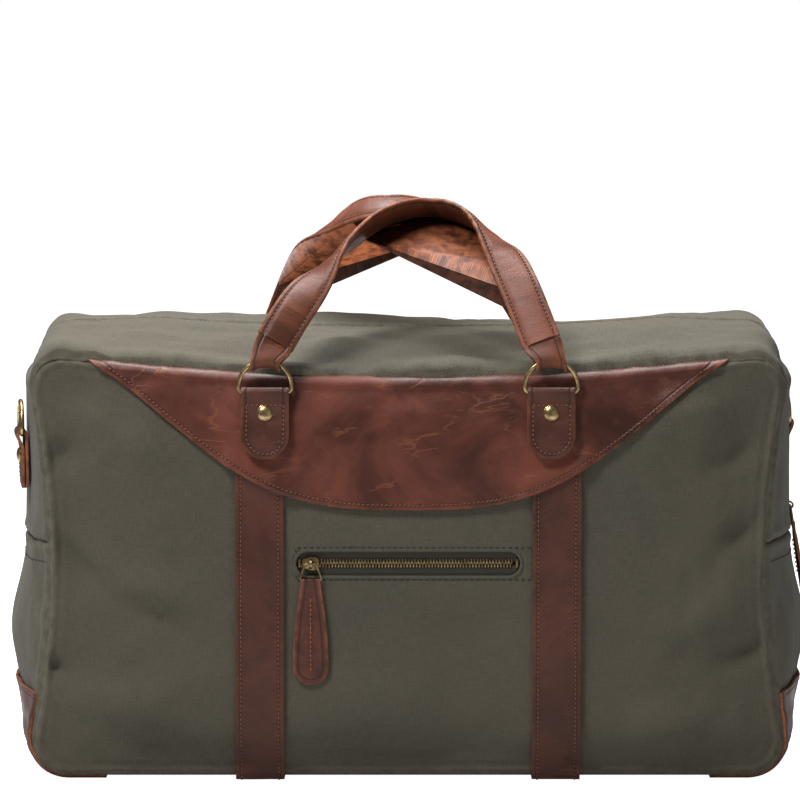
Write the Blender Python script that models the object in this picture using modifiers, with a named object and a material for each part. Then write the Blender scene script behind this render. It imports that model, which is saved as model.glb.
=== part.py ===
"""Weekender bag: a canvas body with leather yokes, straps, handles and brass fittings.

Metres, +Z up. The origin is the middle of the footprint and the front faces -Y. The bag looks
the same after half a turn about Z, apart from the front pocket and the end that the zip closes at.
"""
from math import asin, atan, copysign, cos, exp, pi, radians, sin, sqrt

import bmesh
import bpy
from mathutils import Matrix, Vector

GAP = 0.0003                    # air between two pieces that touch
LAY = 0.0010                    # air under leather that is laid on swelling canvas

# Canvas body
PANEL_HALF_WIDTH = 0.258        # front and back panels, at their top and bottom corners
PANEL_WAIST = 0.016             # how far each side seam pulls in at half height
PANEL_TOP = 0.291               # top seam at its ends
PANEL_SAG = 0.018               # how far the top seam hangs in the middle
PANEL_CORNER = 0.028            # corner radius of the panels
RIM = 0.100                     # from the middle of the bag to the seams of a panel
CROWN = 0.014                   # swell of a panel in its middle
CANVAS = 0.0024                 # canvas with its interlining
GUSSET_HALF_WIDTH = PANEL_HALF_WIDTH + 0.006        # sides of the bag, half way between the panels
LOW_SWELL = 0.013               # extra swell of the sides low down
LOW_SWELL_HEIGHT = 0.090
LOW_SWELL_SPREAD = 0.042
TOP_SWELL = 0.024               # rise of the top between the seams, at its ends
TOP_SWELL_MIDDLE = 0.006        # and this much more in the middle
GUSSET_SEAM = 0.162             # where the zip gusset is sewn to the base gusset
GUSSET_PART = 0.003             # s left between the ends of the two gussets

# Leather on the body
LEATHER = 0.0020
BASE = LEATHER + LAY            # underside of the canvas, which stands on the leather
YOKE_HALF_WIDTH = PANEL_HALF_WIDTH - 0.039
YOKE_TIP = 0.985                # the yoke's tips are cut off at this share of its half width
YOKE_LOW = PANEL_TOP - 0.106    # lowest point of the yoke
STRAP_PLACE = 0.100
STRAP_WIDTH = 0.0325
GUARD_TOP = 0.058
GUARD_INNER_END = PANEL_HALF_WIDTH - 0.053
STRAP_FLAT = 0.25               # share of each half of a strap's rows that lies under the base

# Inside
LINING = 0.0010
LINING_TOP = PANEL_TOP - 0.061  # the lining's open rim
BOARD = 0.0030
BOARD_CLEAR = 0.014             # the base board ends short of the rounded corners
BOARD_CORNER = 0.012
LINING_CLEAR = 0.003
POUCH_DEPTH = 0.0105
POUCH_HALF_WIDTH = 0.088
POUCH_LOW = 0.040
POUCH_RISE = 0.004              # top of the pouch above the zip's tape
POUCH_INSET = 0.002             # the neck's root, in from the pouch's front
NECK_PAST_ZIP = 0.003           # the neck ends this far past the zip's slot
NECK_SHORT = 0.001              # and lies this far inside the tapes' outer edges
POUCH_WALL = 0.0008

# D-rings and their tabs
RING_WIRE = 0.0015              # radius of the wire
RING_ARC = 0.018                # radius of the arc's middle line
RING_RISE = 0.004               # centre of the arc above the bar
TAB_WIDTH = 0.0320
TAB_CLEAR = 0.0009              # the tab is straight across and what it lies on is crowned
TAB_CLOSE = 0.010               # length over which the two layers close below the bar
TAB_FOLD = 0.3                  # share of each half of a tab's rows that goes round the bar
TAB_END = 0.15                  # the tab's round end is cut square at this share of its width
HANDLE_TAB_PLACE = 0.096
HANDLE_TAB_LOW = PANEL_TOP - 0.071
HANDLE_BAR = PANEL_TOP - 0.027
HANDLE_RIVET = PANEL_TOP - 0.040
SIDE_TAB_PLACE = 0.045
SIDE_TAB_LOW = PANEL_TOP - 0.098
SIDE_BAR = PANEL_TOP - 0.060
SIDE_RIVET = PANEL_TOP - 0.075
RIVET_RADIUS = 0.0053
RIVET_HEIGHT = 0.0026

# Handles
HANDLE_WIDTH = 0.027
HANDLE_THICK = 0.006
HANDLE_RISE = 0.086             # apex of the handle's middle line above its ends
HANDLE_LEAN_END = 0.0145        # apex of the handle in front of the bag's middle plane
HANDLE_TOP_TILT = radians(27)   # the front edge stands higher than the back one at the top
HANDLE_START = 0.003            # ends of the handle behind the rings
# middle line of the front handle: (share of the tab spacing, share of the lean, share of the rise)
HANDLE_SHAPE = (
    (-0.930, 0.00, 0.00),
    (-0.800, 0.09, 0.24),
    (-0.620, 0.27, 0.50),
    (-0.410, 0.52, 0.75),
    (-0.150, 0.82, 0.94),
    (0.140, 1.00, 1.00),
    (0.420, 0.84, 0.93),
    (0.640, 0.52, 0.71),
    (0.780, 0.25, 0.42),
    (0.930, 0.00, 0.00),
)
TONGUE = 0.0018
TONGUE_WIDTH = 0.020            # where it wraps the wire
TONGUE_SEAT = 0.026             # where it meets the handle
TONGUE_LENGTH = 0.012           # from the top of the ring's arc to the handle's end
TONGUE_SLACK = 0.0032           # inner radius of the loop round the wire

# Zips
TAPE = 0.0008
TEETH = 0.0024                  # height of the teeth
TOOTH_REACH = 0.0030            # from the zip's middle to the outer edge of the teeth
TOOTH_PART = 0.0007             # half the slot between the two rows
TAPE_HALF_WIDTH = 0.012
TAPE_PAST = 0.002               # the pocket's tapes run this far past its slot
MAIN_SLOT = 0.007               # half the slot between the canvas edges
MAIN_END = 0.166                # lower ends of the main zip on the two sides
MAIN_SLIDER = 0.176
POCKET_ZIP = 0.149              # height of the pocket zip
POCKET_HALF = 0.075
POCKET_SLOT = 0.0078
POCKET_SLIDER = -0.0655
STOP_LENGTH = 0.0016
STOP_INSET = 0.0028             # inner ends of the stops, from the ends of the slot
SLIDER_WIDTH = 0.0090
SLIDER_LENGTH = 0.0110
SLIDER_CORNER = 0.0028
SLIDER_PLATE = 0.0012
SLIDER_WEB = 0.0004             # half thickness of the web between the teeth
SLIDER_CLEAR = 0.0006           # plate to teeth
BRIDGE_WIDTH = 0.0026
BRIDGE_HEIGHT = 0.0052
BRIDGE_LENGTH = 0.0064
BRIDGE_HOLE = 0.0030
BRIDGE_ROOF = 0.0012
BAIL_WIRE = 0.0008
BAIL_WIDTH = 0.0142
BAIL_DROP = 0.0110
BAIL_TOP = 0.0088               # width of the bail where it runs through the slider's bridge
BAIL_CORNER = 0.0014
PULL_THICK = 0.0036             # two layers, folded over the bail
PULL_NECK = 0.0058              # half width of the pull at its fold
PULL_BELLY = 0.0120             # radius of its lower end
PULL_FOLD = 0.0022              # the fold stands this far above the bail
MAIN_PULL_TILT = radians(8.3)   # the main pull hangs on the swell of the side
POCKET_PULL = 0.0730
MAIN_PULL = 0.0500

CANVAS_FINISH = ((0.082, 0.074, 0.056, 1), 0.90, 0.0)
YOKE_FINISH = ((0.125, 0.034, 0.020, 1), 0.50, 0.0)
STRAP_FINISH = ((0.065, 0.022, 0.015, 1), 0.50, 0.0)
HANDLE_FINISH = ((0.255, 0.065, 0.029, 1), 0.48, 0.0)
LINING_FINISH = ((0.140, 0.120, 0.090, 1), 0.85, 0.0)
BOARD_FINISH = ((0.030, 0.028, 0.026, 1), 0.80, 0.0)
TAPE_FINISH = ((0.040, 0.036, 0.030, 1), 0.85, 0.0)
BRASS_FINISH = ((0.520, 0.350, 0.150, 1), 0.32, 1.0)
ANTIQUE_FINISH = ((0.240, 0.170, 0.085, 1), 0.42, 1.0)


# ---------------------------------------------------------------- scene and shared makers
def clear_scene():
    for item in list(bpy.data.objects):
        bpy.data.objects.remove(item)


def new_collection(name):
    collection = bpy.data.collections.new(name)
    bpy.context.scene.collection.children.link(collection)
    return collection


clear_scene()
BAG = new_collection("weekender_bag")
CUTTERS = new_collection("cutters")


def add_piece(name, data, finish, place=None):
    """Link an object made from the data to the bag, with a material of its own."""
    piece = bpy.data.objects.new(name, data)
    BAG.objects.link(piece)
    colour, roughness, metallic = finish
    material = bpy.data.materials.new(name)
    material.use_nodes = True
    shader = material.node_tree.nodes["Principled BSDF"]
    shader.inputs["Base Color"].default_value = colour
    shader.inputs["Roughness"].default_value = roughness
    shader.inputs["Metallic"].default_value = metallic
    data.materials.clear()
    data.materials.append(material)
    if place is not None:
        piece.matrix_world = place
    return piece


def mesh_from(sheet, name):
    mesh = bpy.data.meshes.new(name)
    sheet.to_mesh(mesh)
    sheet.free()
    return mesh


def smooth(piece):
    piece.data.shade_smooth()
    piece.data.set_sharp_from_angle(angle=radians(40))


def laid_sheet(name, columns, rows, lay, thickness, side, finish, origin=Vector()):
    """A sheet laid by lay(u, v), u and v from -1 to 1, and thickened to one side of what it lies on.

    The side is 1 outwards, -1 inwards and 0 both ways.
    """
    sheet = bmesh.new()
    bmesh.ops.create_grid(sheet, x_segments=columns, y_segments=rows, size=1)
    for corner in sheet.verts:
        corner.co = lay(corner.co.x, corner.co.y) - origin
    piece = add_piece(name, mesh_from(sheet, name), finish, Matrix.Translation(origin))
    smooth(piece)
    solid = piece.modifiers.new("thickness", "SOLIDIFY")
    solid.thickness = thickness
    solid.offset = side
    solid.use_even_offset = True
    return piece


def wire_piece(name, points, radius, finish, place):
    """A closed wire through the points, as one tube."""
    curve = bpy.data.curves.new(name, "CURVE")
    curve.dimensions = "3D"
    curve.bevel_depth = radius
    curve.bevel_resolution = 1
    spline = curve.splines.new("POLY")
    spline.points.add(len(points) - 1)
    for knot, point in zip(spline.points, points):
        knot.co = (*point, 1)
    spline.use_cyclic_u = True
    add_piece(name, curve, finish, place)


def flat_outline(name, outlines, thickness):
    """A flat plate from closed outlines in its XY plane; an outline inside another is a hole."""
    curve = bpy.data.curves.new(name, "CURVE")
    curve.dimensions = "2D"
    curve.fill_mode = "BOTH"
    curve.extrude = thickness / 2
    for outline in outlines:
        spline = curve.splines.new("POLY")
        spline.points.add(len(outline) - 1)
        for knot, (x, y) in zip(spline.points, outline):
            knot.co = (x, y, 0, 1)
        spline.use_cyclic_u = True
    return curve


def curve_mesh(curve, name):
    """The curve as a closed mesh that can be cut."""
    guide = bpy.data.objects.new(name, curve)
    BAG.objects.link(guide)
    bpy.context.view_layer.update()
    made = guide.evaluated_get(bpy.context.evaluated_depsgraph_get())
    mesh = bpy.data.meshes.new_from_object(made)
    bpy.data.objects.remove(guide)
    shape = bmesh.new()
    shape.from_mesh(mesh)
    bmesh.ops.remove_doubles(shape, verts=shape.verts, dist=1e-6)
    shape.to_mesh(mesh)
    shape.free()
    return mesh


def block(size, centre, round_edges=0.0, along=None):
    """A block mesh, its edges along one axis rounded when asked."""
    shape = bmesh.new()
    bmesh.ops.create_cube(shape, size=1, matrix=Matrix.Translation(centre) @ Matrix.Diagonal((*size, 1)))
    if round_edges:
        edges = [edge for edge in shape.edges
                 if abs((edge.verts[0].co - edge.verts[1].co)[along]) > round_edges]
        bmesh.ops.bevel(shape, geom=edges, offset=round_edges, segments=6, profile=0.5,
                        affect="EDGES", material=-1)
    return shape


def cutter(name, shape, place=None):
    item = bpy.data.objects.new(name, mesh_from(shape, name))
    CUTTERS.objects.link(item)
    item.hide_render = True
    item.display_type = "WIRE"
    if place is not None:
        item.matrix_world = place
    return item


def combine(piece, other, operation):
    tool = piece.modifiers.new(other.name, "BOOLEAN")
    tool.operation = operation
    tool.solver = "EXACT"
    tool.object = other


def half_turn(piece, name, finish):
    """The same piece on the other face of the bag."""
    data = piece.data.copy()
    twin = add_piece(name, data, finish, Matrix.Rotation(pi, 4, "Z") @ piece.matrix_basis)
    for source in piece.modifiers:
        made = twin.modifiers.new(source.name, source.type)
        for setting in ("thickness", "offset", "use_even_offset", "width", "segments",
                        "limit_method", "angle_limit"):
            if hasattr(source, setting):
                setattr(made, setting, getattr(source, setting))


# ---------------------------------------------------------------- the form of the bag
def seam_height(x):
    """Height of the top seam, which hangs in the middle."""
    return PANEL_TOP - PANEL_SAG * (1 - min(1, abs(x) / PANEL_HALF_WIDTH) ** 2)


def seam_half_width(z):
    """Half width of a panel between its side seams, which pull in at half height."""
    return PANEL_HALF_WIDTH - PANEL_WAIST * sin(pi * min(1, max(0, (z - BASE) / (PANEL_TOP - BASE))))


def rounded(p, q):
    """A place in a square of half side 1, after the square's corners are rounded as a panel's are."""
    ring = max(abs(p), abs(q))
    if ring == 0:
        return 0.0, 0.0
    p, q = p / ring, q / ring
    corner_p = PANEL_CORNER / PANEL_HALF_WIDTH
    corner_q = 2 * PANEL_CORNER / (PANEL_TOP - BASE)
    past_p = (abs(p) - 1) / corner_p + 1
    past_q = (abs(q) - 1) / corner_q + 1
    if past_p > 0 and past_q > 0:
        reach = sqrt(past_p ** 2 + past_q ** 2)
        p = copysign(1 - corner_p + corner_p * past_p / reach, p)
        q = copysign(1 - corner_q + corner_q * past_q / reach, q)
    return p * ring, q * ring


def panel_place(p, q):
    """Where a place in the square falls on a panel, as (x, z)."""
    p, q = rounded(p, q)
    z = BASE + (q + 1) / 2 * (seam_height(p * PANEL_HALF_WIDTH) - BASE)
    return p * seam_half_width(z), z


def panel_out(x, z):
    """How far the outer face of a panel stands from the bag's middle plane."""
    across = min(1, abs(x) / seam_half_width(z))
    middle = (seam_height(x) + BASE) / 2
    up = min(1, abs(z - middle) / (middle - BASE))
    return RIM + CROWN * (1 - across ** 4) * (1 - up ** 4)


def outline(s):
    """The panels' outline: s is 0 at the middle of the top, 2 half way down the right, 4 at the bottom."""
    s = (s + 4) % 8 - 4
    side = copysign(1, s)
    run = abs(s)
    if run <= 1:
        return panel_place(sin(pi / 2 * s), 1)
    if run <= 3:
        return panel_place(side, sin(pi / 2 * (2 - run)))
    return panel_place(side * sin(pi / 2 * (4 - run)), -1)


def outline_at_height(z):
    """The outline's s at a height on the right-hand side."""
    share = 2 * (z - BASE) / (PANEL_TOP - BASE) - 1
    return 2 - asin(share) * 2 / pi


def side_swell(z):
    low = LOW_SWELL * exp(-((z - LOW_SWELL_HEIGHT) / LOW_SWELL_SPREAD) ** 2)
    return GUSSET_HALF_WIDTH + low - seam_half_width(z)


def gusset_place(s, y, inset=0.0):
    """A point of the gusset, which swells between its two seams; the inset goes into the bag."""
    x, z = outline(s)
    before = Vector(outline(s - 0.01))
    after = Vector(outline(s + 0.01))
    run = (after - before).normalized()
    outward = Vector((-run.y, 0, run.x))
    top = TOP_SWELL + TOP_SWELL_MIDDLE * (1 - (x / PANEL_HALF_WIDTH) ** 2)
    swell = top * max(0, outward.z) ** 2 + side_swell(z) * outward.x ** 2
    return Vector((x, y, z)) + outward * (swell * (1 - (y / RIM) ** 2) - inset)


def side_out(y, z):
    """How far the gusset's side stands from the middle of the bag."""
    return seam_half_width(z) + side_swell(z) * (1 - (y / RIM) ** 2)


def yoke_edge(x):
    """Height of the yoke's lower edge: a shallow bowl that turns level again at its two tips."""
    share = abs(x) / YOKE_HALF_WIDTH
    rise = seam_height(YOKE_HALF_WIDTH) - YOKE_LOW
    return YOKE_LOW + rise * (2.05 * share ** 3 - 1.05 * share ** 5)


def warp(share):
    """Grid lines closer together towards the edges, where the canvas turns."""
    return sin(pi / 2 * share)


def mix(start, end, share):
    return start + (end - start) * share


def ease(share):
    share = min(1, max(0, share))
    return share * share * (3 - 2 * share)


# ---------------------------------------------------------------- canvas
def lay_panel(u, v):
    x, z = panel_place(warp(u), warp(v))
    return Vector((x, -panel_out(x, z), z))


def lay_back_panel(u, v):
    point = lay_panel(u, v)
    return Vector((-point.x, -point.y, point.z))


def make_panels():
    front = laid_sheet("front_panel", 18, 10, lay_panel, CANVAS, -1, CANVAS_FINISH)
    depth = 6 * CROWN
    slot = block((2 * POCKET_HALF, depth, 2 * POCKET_SLOT), (0, -RIM - CROWN, POCKET_ZIP),
                 POCKET_SLOT * 0.96, 1)
    combine(front, cutter("pocket_slot", slot), "DIFFERENCE")
    laid_sheet("back_panel", 18, 10, lay_back_panel, CANVAS, -1, CANVAS_FINISH)


GUSSET_EDGE = RIM - CANVAS - GAP            # the gusset butts against the inner faces of the panels
SEAM_S = outline_at_height(GUSSET_SEAM)


def make_gussets():
    zip_end = SEAM_S

    def lay_zip_side(u, v):
        y = mix(-GUSSET_EDGE, -MAIN_SLOT, (v + 1) / 2)
        return gusset_place(zip_end * u, y)

    front = laid_sheet("zip_gusset_front", 28, 3, lay_zip_side, CANVAS, -1, CANVAS_FINISH)
    half_turn(front, "zip_gusset_back", CANVAS_FINISH)
    base_start = zip_end + GUSSET_PART
    base_end = 8 - base_start

    def lay_base(u, v):
        return gusset_place(mix(base_start, base_end, (u + 1) / 2), GUSSET_EDGE * v)

    laid_sheet("base_gusset", 40, 6, lay_base, CANVAS, -1, CANVAS_FINISH)


# ---------------------------------------------------------------- leather on the body
def make_yokes():
    def lay_yoke(u, v):
        x = u * YOKE_HALF_WIDTH * YOKE_TIP
        z = mix(yoke_edge(x), seam_height(x) - GAP, (v + 1) / 2)
        return Vector((x, -panel_out(x, z) - LAY, z))

    front = laid_sheet("front_yoke", 22, 7, lay_yoke, LEATHER, 1, YOKE_FINISH)
    half_turn(front, "back_yoke", YOKE_FINISH)


def make_straps():
    for name, middle in (("strap_left", -STRAP_PLACE), ("strap_right", STRAP_PLACE)):
        def lay_strap(u, v):
            x = middle + u * STRAP_WIDTH / 2
            side = copysign(1, -v)
            run = abs(v)
            if run <= STRAP_FLAT:
                return Vector((x, side * (RIM + LAY) * run / STRAP_FLAT, BASE - LAY))
            climb = 1 - cos(pi / 2 * (run - STRAP_FLAT) / (1 - STRAP_FLAT))
            z = mix(BASE - LAY, yoke_edge(x) - GAP, climb)
            return Vector((x, side * (panel_out(x, max(z, BASE)) + LAY), z))

        laid_sheet(name, 2, 24, lay_strap, LEATHER, 1, STRAP_FINISH)


def make_end_guards():
    start = outline_at_height(GUARD_TOP)
    end = 4 - asin(GUARD_INNER_END / PANEL_HALF_WIDTH) * 2 / pi

    def lay_guard(u, v):
        return gusset_place(mix(start, end, (u + 1) / 2), GUSSET_EDGE * v, -LAY)

    right = laid_sheet("end_guard_right", 14, 6, lay_guard, LEATHER, 1, STRAP_FINISH)
    half_turn(right, "end_guard_left", STRAP_FINISH)


# ---------------------------------------------------------------- inside
BOARD_LOW = BASE + CANVAS + GAP
LINING_LOW = BOARD_LOW + BOARD + GAP
POUCH_FRONT = RIM - CANVAS - 4 * GAP
LINING_FRONT = POUCH_FRONT - POUCH_DEPTH - 4 * GAP


def make_inside():
    half_length = PANEL_HALF_WIDTH - PANEL_CORNER - BOARD_CLEAR
    half_depth = GUSSET_EDGE - LINING_CLEAR
    board = block((2 * half_length, 2 * half_depth, BOARD), (0, 0, BOARD_LOW + BOARD / 2),
                  BOARD_CORNER, 2)
    add_piece("base_board", mesh_from(board, "base_board"), BOARD_FINISH)

    half_width = PANEL_HALF_WIDTH - PANEL_WAIST - CANVAS - LINING_CLEAR
    back = GUSSET_EDGE - LINING_CLEAR
    height = LINING_TOP + PANEL_CORNER - LINING_LOW
    tub = block((2 * half_width, back + LINING_FRONT, height),
                (0, (back - LINING_FRONT) / 2, LINING_LOW + height / 2), PANEL_CORNER, 1)
    bmesh.ops.bisect_plane(tub, geom=tub.verts[:] + tub.edges[:] + tub.faces[:],
                           plane_co=(0, 0, LINING_TOP), plane_no=(0, 0, 1), clear_outer=True)
    lining = add_piece("lining", mesh_from(tub, "lining"), LINING_FINISH)
    wall = lining.modifiers.new("thickness", "SOLIDIFY")
    wall.thickness = LINING
    wall.offset = -1


def make_pouch():
    """A flat bag behind the front panel, with a neck that reaches forward to the zip's tapes."""
    low, high = POUCH_LOW, POCKET_ZIP + TAPE_HALF_WIDTH + POUCH_RISE
    back = -POUCH_FRONT + POUCH_DEPTH
    pouch = block((2 * POUCH_HALF_WIDTH, POUCH_DEPTH, high - low),
                  (0, (back - POUCH_FRONT) / 2, (low + high) / 2))
    front = min(pouch.faces, key=lambda face: face.calc_center_median().y)
    bmesh.ops.inset_region(pouch, faces=[front], thickness=POUCH_INSET)
    neck_half = TAPE_HALF_WIDTH - NECK_SHORT
    for corner in front.verts:
        corner.co.x = copysign(POCKET_HALF + NECK_PAST_ZIP, corner.co.x)
        corner.co.z = POCKET_ZIP + copysign(neck_half, corner.co.z - (low + high) / 2)
    grown = bmesh.ops.extrude_face_region(pouch, geom=[front])["geom"]
    mouth = -(RIM + CROWN - CANVAS - TAPE - 6 * GAP)
    for corner in (item for item in grown if isinstance(item, bmesh.types.BMVert)):
        corner.co.y = mouth
    caps = [face for face in pouch.faces if abs(face.calc_center_median().y - mouth) < GAP]
    if front.is_valid:
        caps.append(front)
    bmesh.ops.delete(pouch, geom=caps, context="FACES")
    bag = add_piece("pocket_pouch", mesh_from(pouch, "pocket_pouch"), LINING_FINISH)
    wall = bag.modifiers.new("thickness", "SOLIDIFY")
    wall.thickness = POUCH_WALL
    wall.offset = -1


# ---------------------------------------------------------------- rings, tabs and rivets
def ring_points():
    """The D-ring's middle line in its own frame: the bar on the X axis, the arc above it."""
    start = asin(RING_RISE / RING_ARC)
    points = []
    for step in range(17):
        turn = mix(-start, pi + start, step / 16)
        points.append((RING_ARC * cos(turn), 0, RING_RISE + RING_ARC * sin(turn)))
    return points


def fitting_frame(turn, middle, surface, bar):
    """Frame of a tab: -Y points out of the bag, its origin is on what the tab lies on, level with the bar."""
    return Matrix.Rotation(turn, 4, "Z") @ Matrix.Translation((middle, -surface(bar), 0))


def make_fitting(place, frame, surface, low, bar, rivet):
    """A leather tab folded over the bar of a D-ring, the ring and the tab's rivet."""
    reach = TAB_CLEAR + LEATHER + RING_WIRE + GAP         # from the surface to the bar's middle line
    fold = RING_WIRE + GAP

    def face(z):
        return surface(z) - surface(bar)

    def half_width(z):
        drop = max(0, low + TAB_WIDTH / 2 - z)
        return max(TAB_END, sqrt(max(0, 1 - (2 * drop / TAB_WIDTH) ** 2))) * TAB_WIDTH / 2

    def lay_tab(u, v):
        """From the end of the outer layer, over the bar, to the lower end of the layer on the bag."""
        if abs(v) < TAB_FOLD:
            turn = pi / 2 * v / TAB_FOLD
            out = reach - fold * sin(turn)
            z = bar + fold * cos(turn)
        else:
            drop = (abs(v) - TAB_FOLD) / (1 - TAB_FOLD)
            z = mix(bar, low, 1 - (1 - drop) ** 1.5)
            closed = TAB_CLEAR + LEATHER + face(z)
            out = closed
            if v < 0:
                out = mix(reach + fold, closed + GAP, ease((bar - z) / TAB_CLOSE))
        return frame @ Vector((u * half_width(z), -out, z))

    laid_sheet("tab_" + place, 2, 26, lay_tab, LEATHER, 1, STRAP_FINISH)

    pivot = frame @ Matrix.Translation((0, -reach, bar))
    wire_piece("d_ring_" + place, ring_points(), RING_WIRE, BRASS_FINISH, pivot)

    near = RIVET_RADIUS / 2
    slope = (surface(rivet + near) - surface(rivet - near)) / (2 * near)
    out = TAB_CLEAR + 2 * LEATHER + 3 * GAP + face(rivet)
    head = bmesh.new()
    steps = 5
    knots = [head.verts.new((0, 0, RIVET_HEIGHT))]
    for step in range(1, steps + 1):
        turn = pi / 2 * step / steps
        knots.append(head.verts.new((RIVET_RADIUS * sin(turn), 0, RIVET_HEIGHT * cos(turn))))
    knots.append(head.verts.new((0, 0, 0)))
    for first, second in zip(knots, knots[1:]):
        head.edges.new((first, second))
    seat = frame @ Matrix.Translation((0, -out, rivet)) @ Matrix.Rotation(pi / 2 + atan(slope), 4, "X")
    stud = add_piece("rivet_" + place, mesh_from(head, "rivet_" + place), BRASS_FINISH, seat)
    turned = stud.modifiers.new("turned", "SCREW")
    turned.angle = 2 * pi
    turned.steps = 14
    turned.render_steps = 14
    turned.use_merge_vertices = True
    turned.merge_threshold = 0.0001


def yoke_surface(z):
    return panel_out(HANDLE_TAB_PLACE, z) + LAY + LEATHER


def side_surface(z):
    return side_out(SIDE_TAB_PLACE, z)


def make_fittings():
    for face, turn in (("front", 0), ("back", pi)):
        for side, middle in (("left", -HANDLE_TAB_PLACE), ("right", HANDLE_TAB_PLACE)):
            if turn:
                middle = -middle
            frame = fitting_frame(turn, middle, yoke_surface, HANDLE_BAR)
            make_fitting(face + "_" + side, frame, yoke_surface, HANDLE_TAB_LOW, HANDLE_BAR,
                         HANDLE_RIVET)
    slope = 2 * side_swell(SIDE_BAR) * SIDE_TAB_PLACE / RIM ** 2
    for side, turn in (("side_left", -pi / 2), ("side_right", pi / 2)):
        frame = fitting_frame(turn, SIDE_TAB_PLACE, side_surface, SIDE_BAR)
        frame = frame @ Matrix.Rotation(atan(slope), 4, "Z")
        make_fitting(side, frame, side_surface, SIDE_TAB_LOW, SIDE_BAR, SIDE_RIVET)


# ---------------------------------------------------------------- handles
RING_OUT = yoke_surface(HANDLE_BAR) + TAB_CLEAR + LEATHER + RING_WIRE + GAP
RING_TOP = HANDLE_BAR + RING_RISE + RING_ARC
ARC_AXIS = RING_TOP - 0.002                 # the handle swings about the middle of the arc it sits on


def handle_knots():
    knots = []
    for across, back, rise in HANDLE_SHAPE:
        knots.append(Vector((
            across * HANDLE_TAB_PLACE,
            mix(-RING_OUT + HANDLE_START, -HANDLE_LEAN_END, back),
            RING_TOP + TONGUE_LENGTH + HANDLE_RISE * rise)))
    return knots


def handle_middle(share):
    """A point of the handle's middle line and its direction: a smooth curve through the knots."""
    knots = handle_knots()
    knots = [2 * knots[0] - knots[1]] + knots + [2 * knots[-1] - knots[-2]]
    spans = len(knots) - 3
    place = min(share * spans, spans - 1e-6)
    first = int(place)
    t = place - first
    a, b, c, d = knots[first:first + 4]
    point = 0.5 * (2 * b + (c - a) * t + (2 * a - 5 * b + 4 * c - d) * t ** 2
                   + (3 * b - a - 3 * c + d) * t ** 3)
    run = 0.5 * ((c - a) + 2 * (2 * a - 5 * b + 4 * c - d) * t + 3 * (3 * b - a - 3 * c + d) * t ** 2)
    return point, run.normalized()


def handle_across(share):
    """Direction across the strap, towards the rim that is in front at the top."""
    run = handle_middle(share)[1]
    flat = Vector((run.z, 0, -run.x)).normalized()
    top = Vector((0, -cos(HANDLE_TOP_TILT), sin(HANDLE_TOP_TILT)))
    across = flat.lerp(top, ease((min(share, 1 - share) - 0.04) / 0.36))
    return (across - run * across.dot(run)).normalized()


def make_handles():
    pivot = Vector((-HANDLE_TAB_PLACE, -RING_OUT, ARC_AXIS))

    def lay_handle(u, v):
        share = (v + 1) / 2
        return handle_middle(share)[0] + handle_across(share) * u * HANDLE_WIDTH / 2

    front = laid_sheet("handle_front", 2, 30, lay_handle, HANDLE_THICK, 0, HANDLE_FINISH, pivot)
    rim = front.modifiers.new("rim", "BEVEL")
    rim.width = HANDLE_THICK * 0.36
    rim.segments = 2
    rim.limit_method = "ANGLE"
    rim.angle_limit = radians(50)
    half_turn(front, "handle_back", HANDLE_FINISH)

    for side, end, place in (("left", 0, -HANDLE_TAB_PLACE), ("right", 1, HANDLE_TAB_PLACE)):
        ring = Vector((place, -RING_OUT, RING_TOP))
        seat, run = handle_middle(end)
        across = handle_across(end)
        if end:
            run = -run
            across = -across
        seat = seat - run * 2 * GAP
        rise = seat - ring
        upright = Vector((0, rise.y, rise.z)).normalized()
        loop = TONGUE_SLACK + TONGUE / 2
        closed = HANDLE_THICK / 2 - TONGUE / 2

        def lay_tongue(u, v):
            if abs(v) < 0.5:
                turn = pi * v
                level = 0.0
                middle = ring - upright * loop * cos(turn)
                out = -loop * sin(turn)
            else:
                level = (abs(v) - 0.5) * 2
                middle = ring + rise * level
                out = -copysign(mix(loop, closed, level), v)
            wide = Vector((1, 0, 0)).lerp(across, level).normalized()
            outward = wide.cross(upright.lerp(rise.normalized(), level)).normalized()
            reach = u * mix(TONGUE_WIDTH, TONGUE_SEAT, level) / 2
            droop = (RING_ARC - sqrt(RING_ARC ** 2 - reach ** 2)) * (1 - level) ** 2
            return middle + wide * reach + outward * out - Vector((0, 0, droop))

        tongue = laid_sheet("tongue_front_" + side, 4, 16, lay_tongue, TONGUE, 0, HANDLE_FINISH, pivot)
        tongue.modifiers["thickness"].use_even_offset = False
        opposite = {"left": "right", "right": "left"}[side]
        half_turn(tongue, "tongue_back_" + opposite, HANDLE_FINISH)


# ---------------------------------------------------------------- zips
def make_main_zip():
    end = outline_at_height(MAIN_END)
    below = CANVAS + LAY

    def lay_tape(u, v):
        y = mix(-TAPE_HALF_WIDTH, -TOOTH_REACH - GAP, (v + 1) / 2)
        return gusset_place(end * u, y, below)

    def lay_chain(u, v):
        y = mix(-TOOTH_REACH, -TOOTH_PART, (v + 1) / 2)
        return gusset_place(end * u, y, below - TEETH / 2)

    tape = laid_sheet("main_zip_tape_front", 28, 1, lay_tape, TAPE, -1, TAPE_FINISH)
    half_turn(tape, "main_zip_tape_back", TAPE_FINISH)
    chain = laid_sheet("main_zip_chain_front", 28, 1, lay_chain, TEETH, -1, ANTIQUE_FINISH)
    half_turn(chain, "main_zip_chain_back", ANTIQUE_FINISH)
    face = side_out(0, MAIN_SLIDER) - below + TEETH / 2
    make_slider("main_zip", Matrix.Rotation(pi / 2, 4, "Z") @ Matrix.Translation((0, -face, MAIN_SLIDER)),
                False, MAIN_PULL, MAIN_PULL_TILT)


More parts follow.
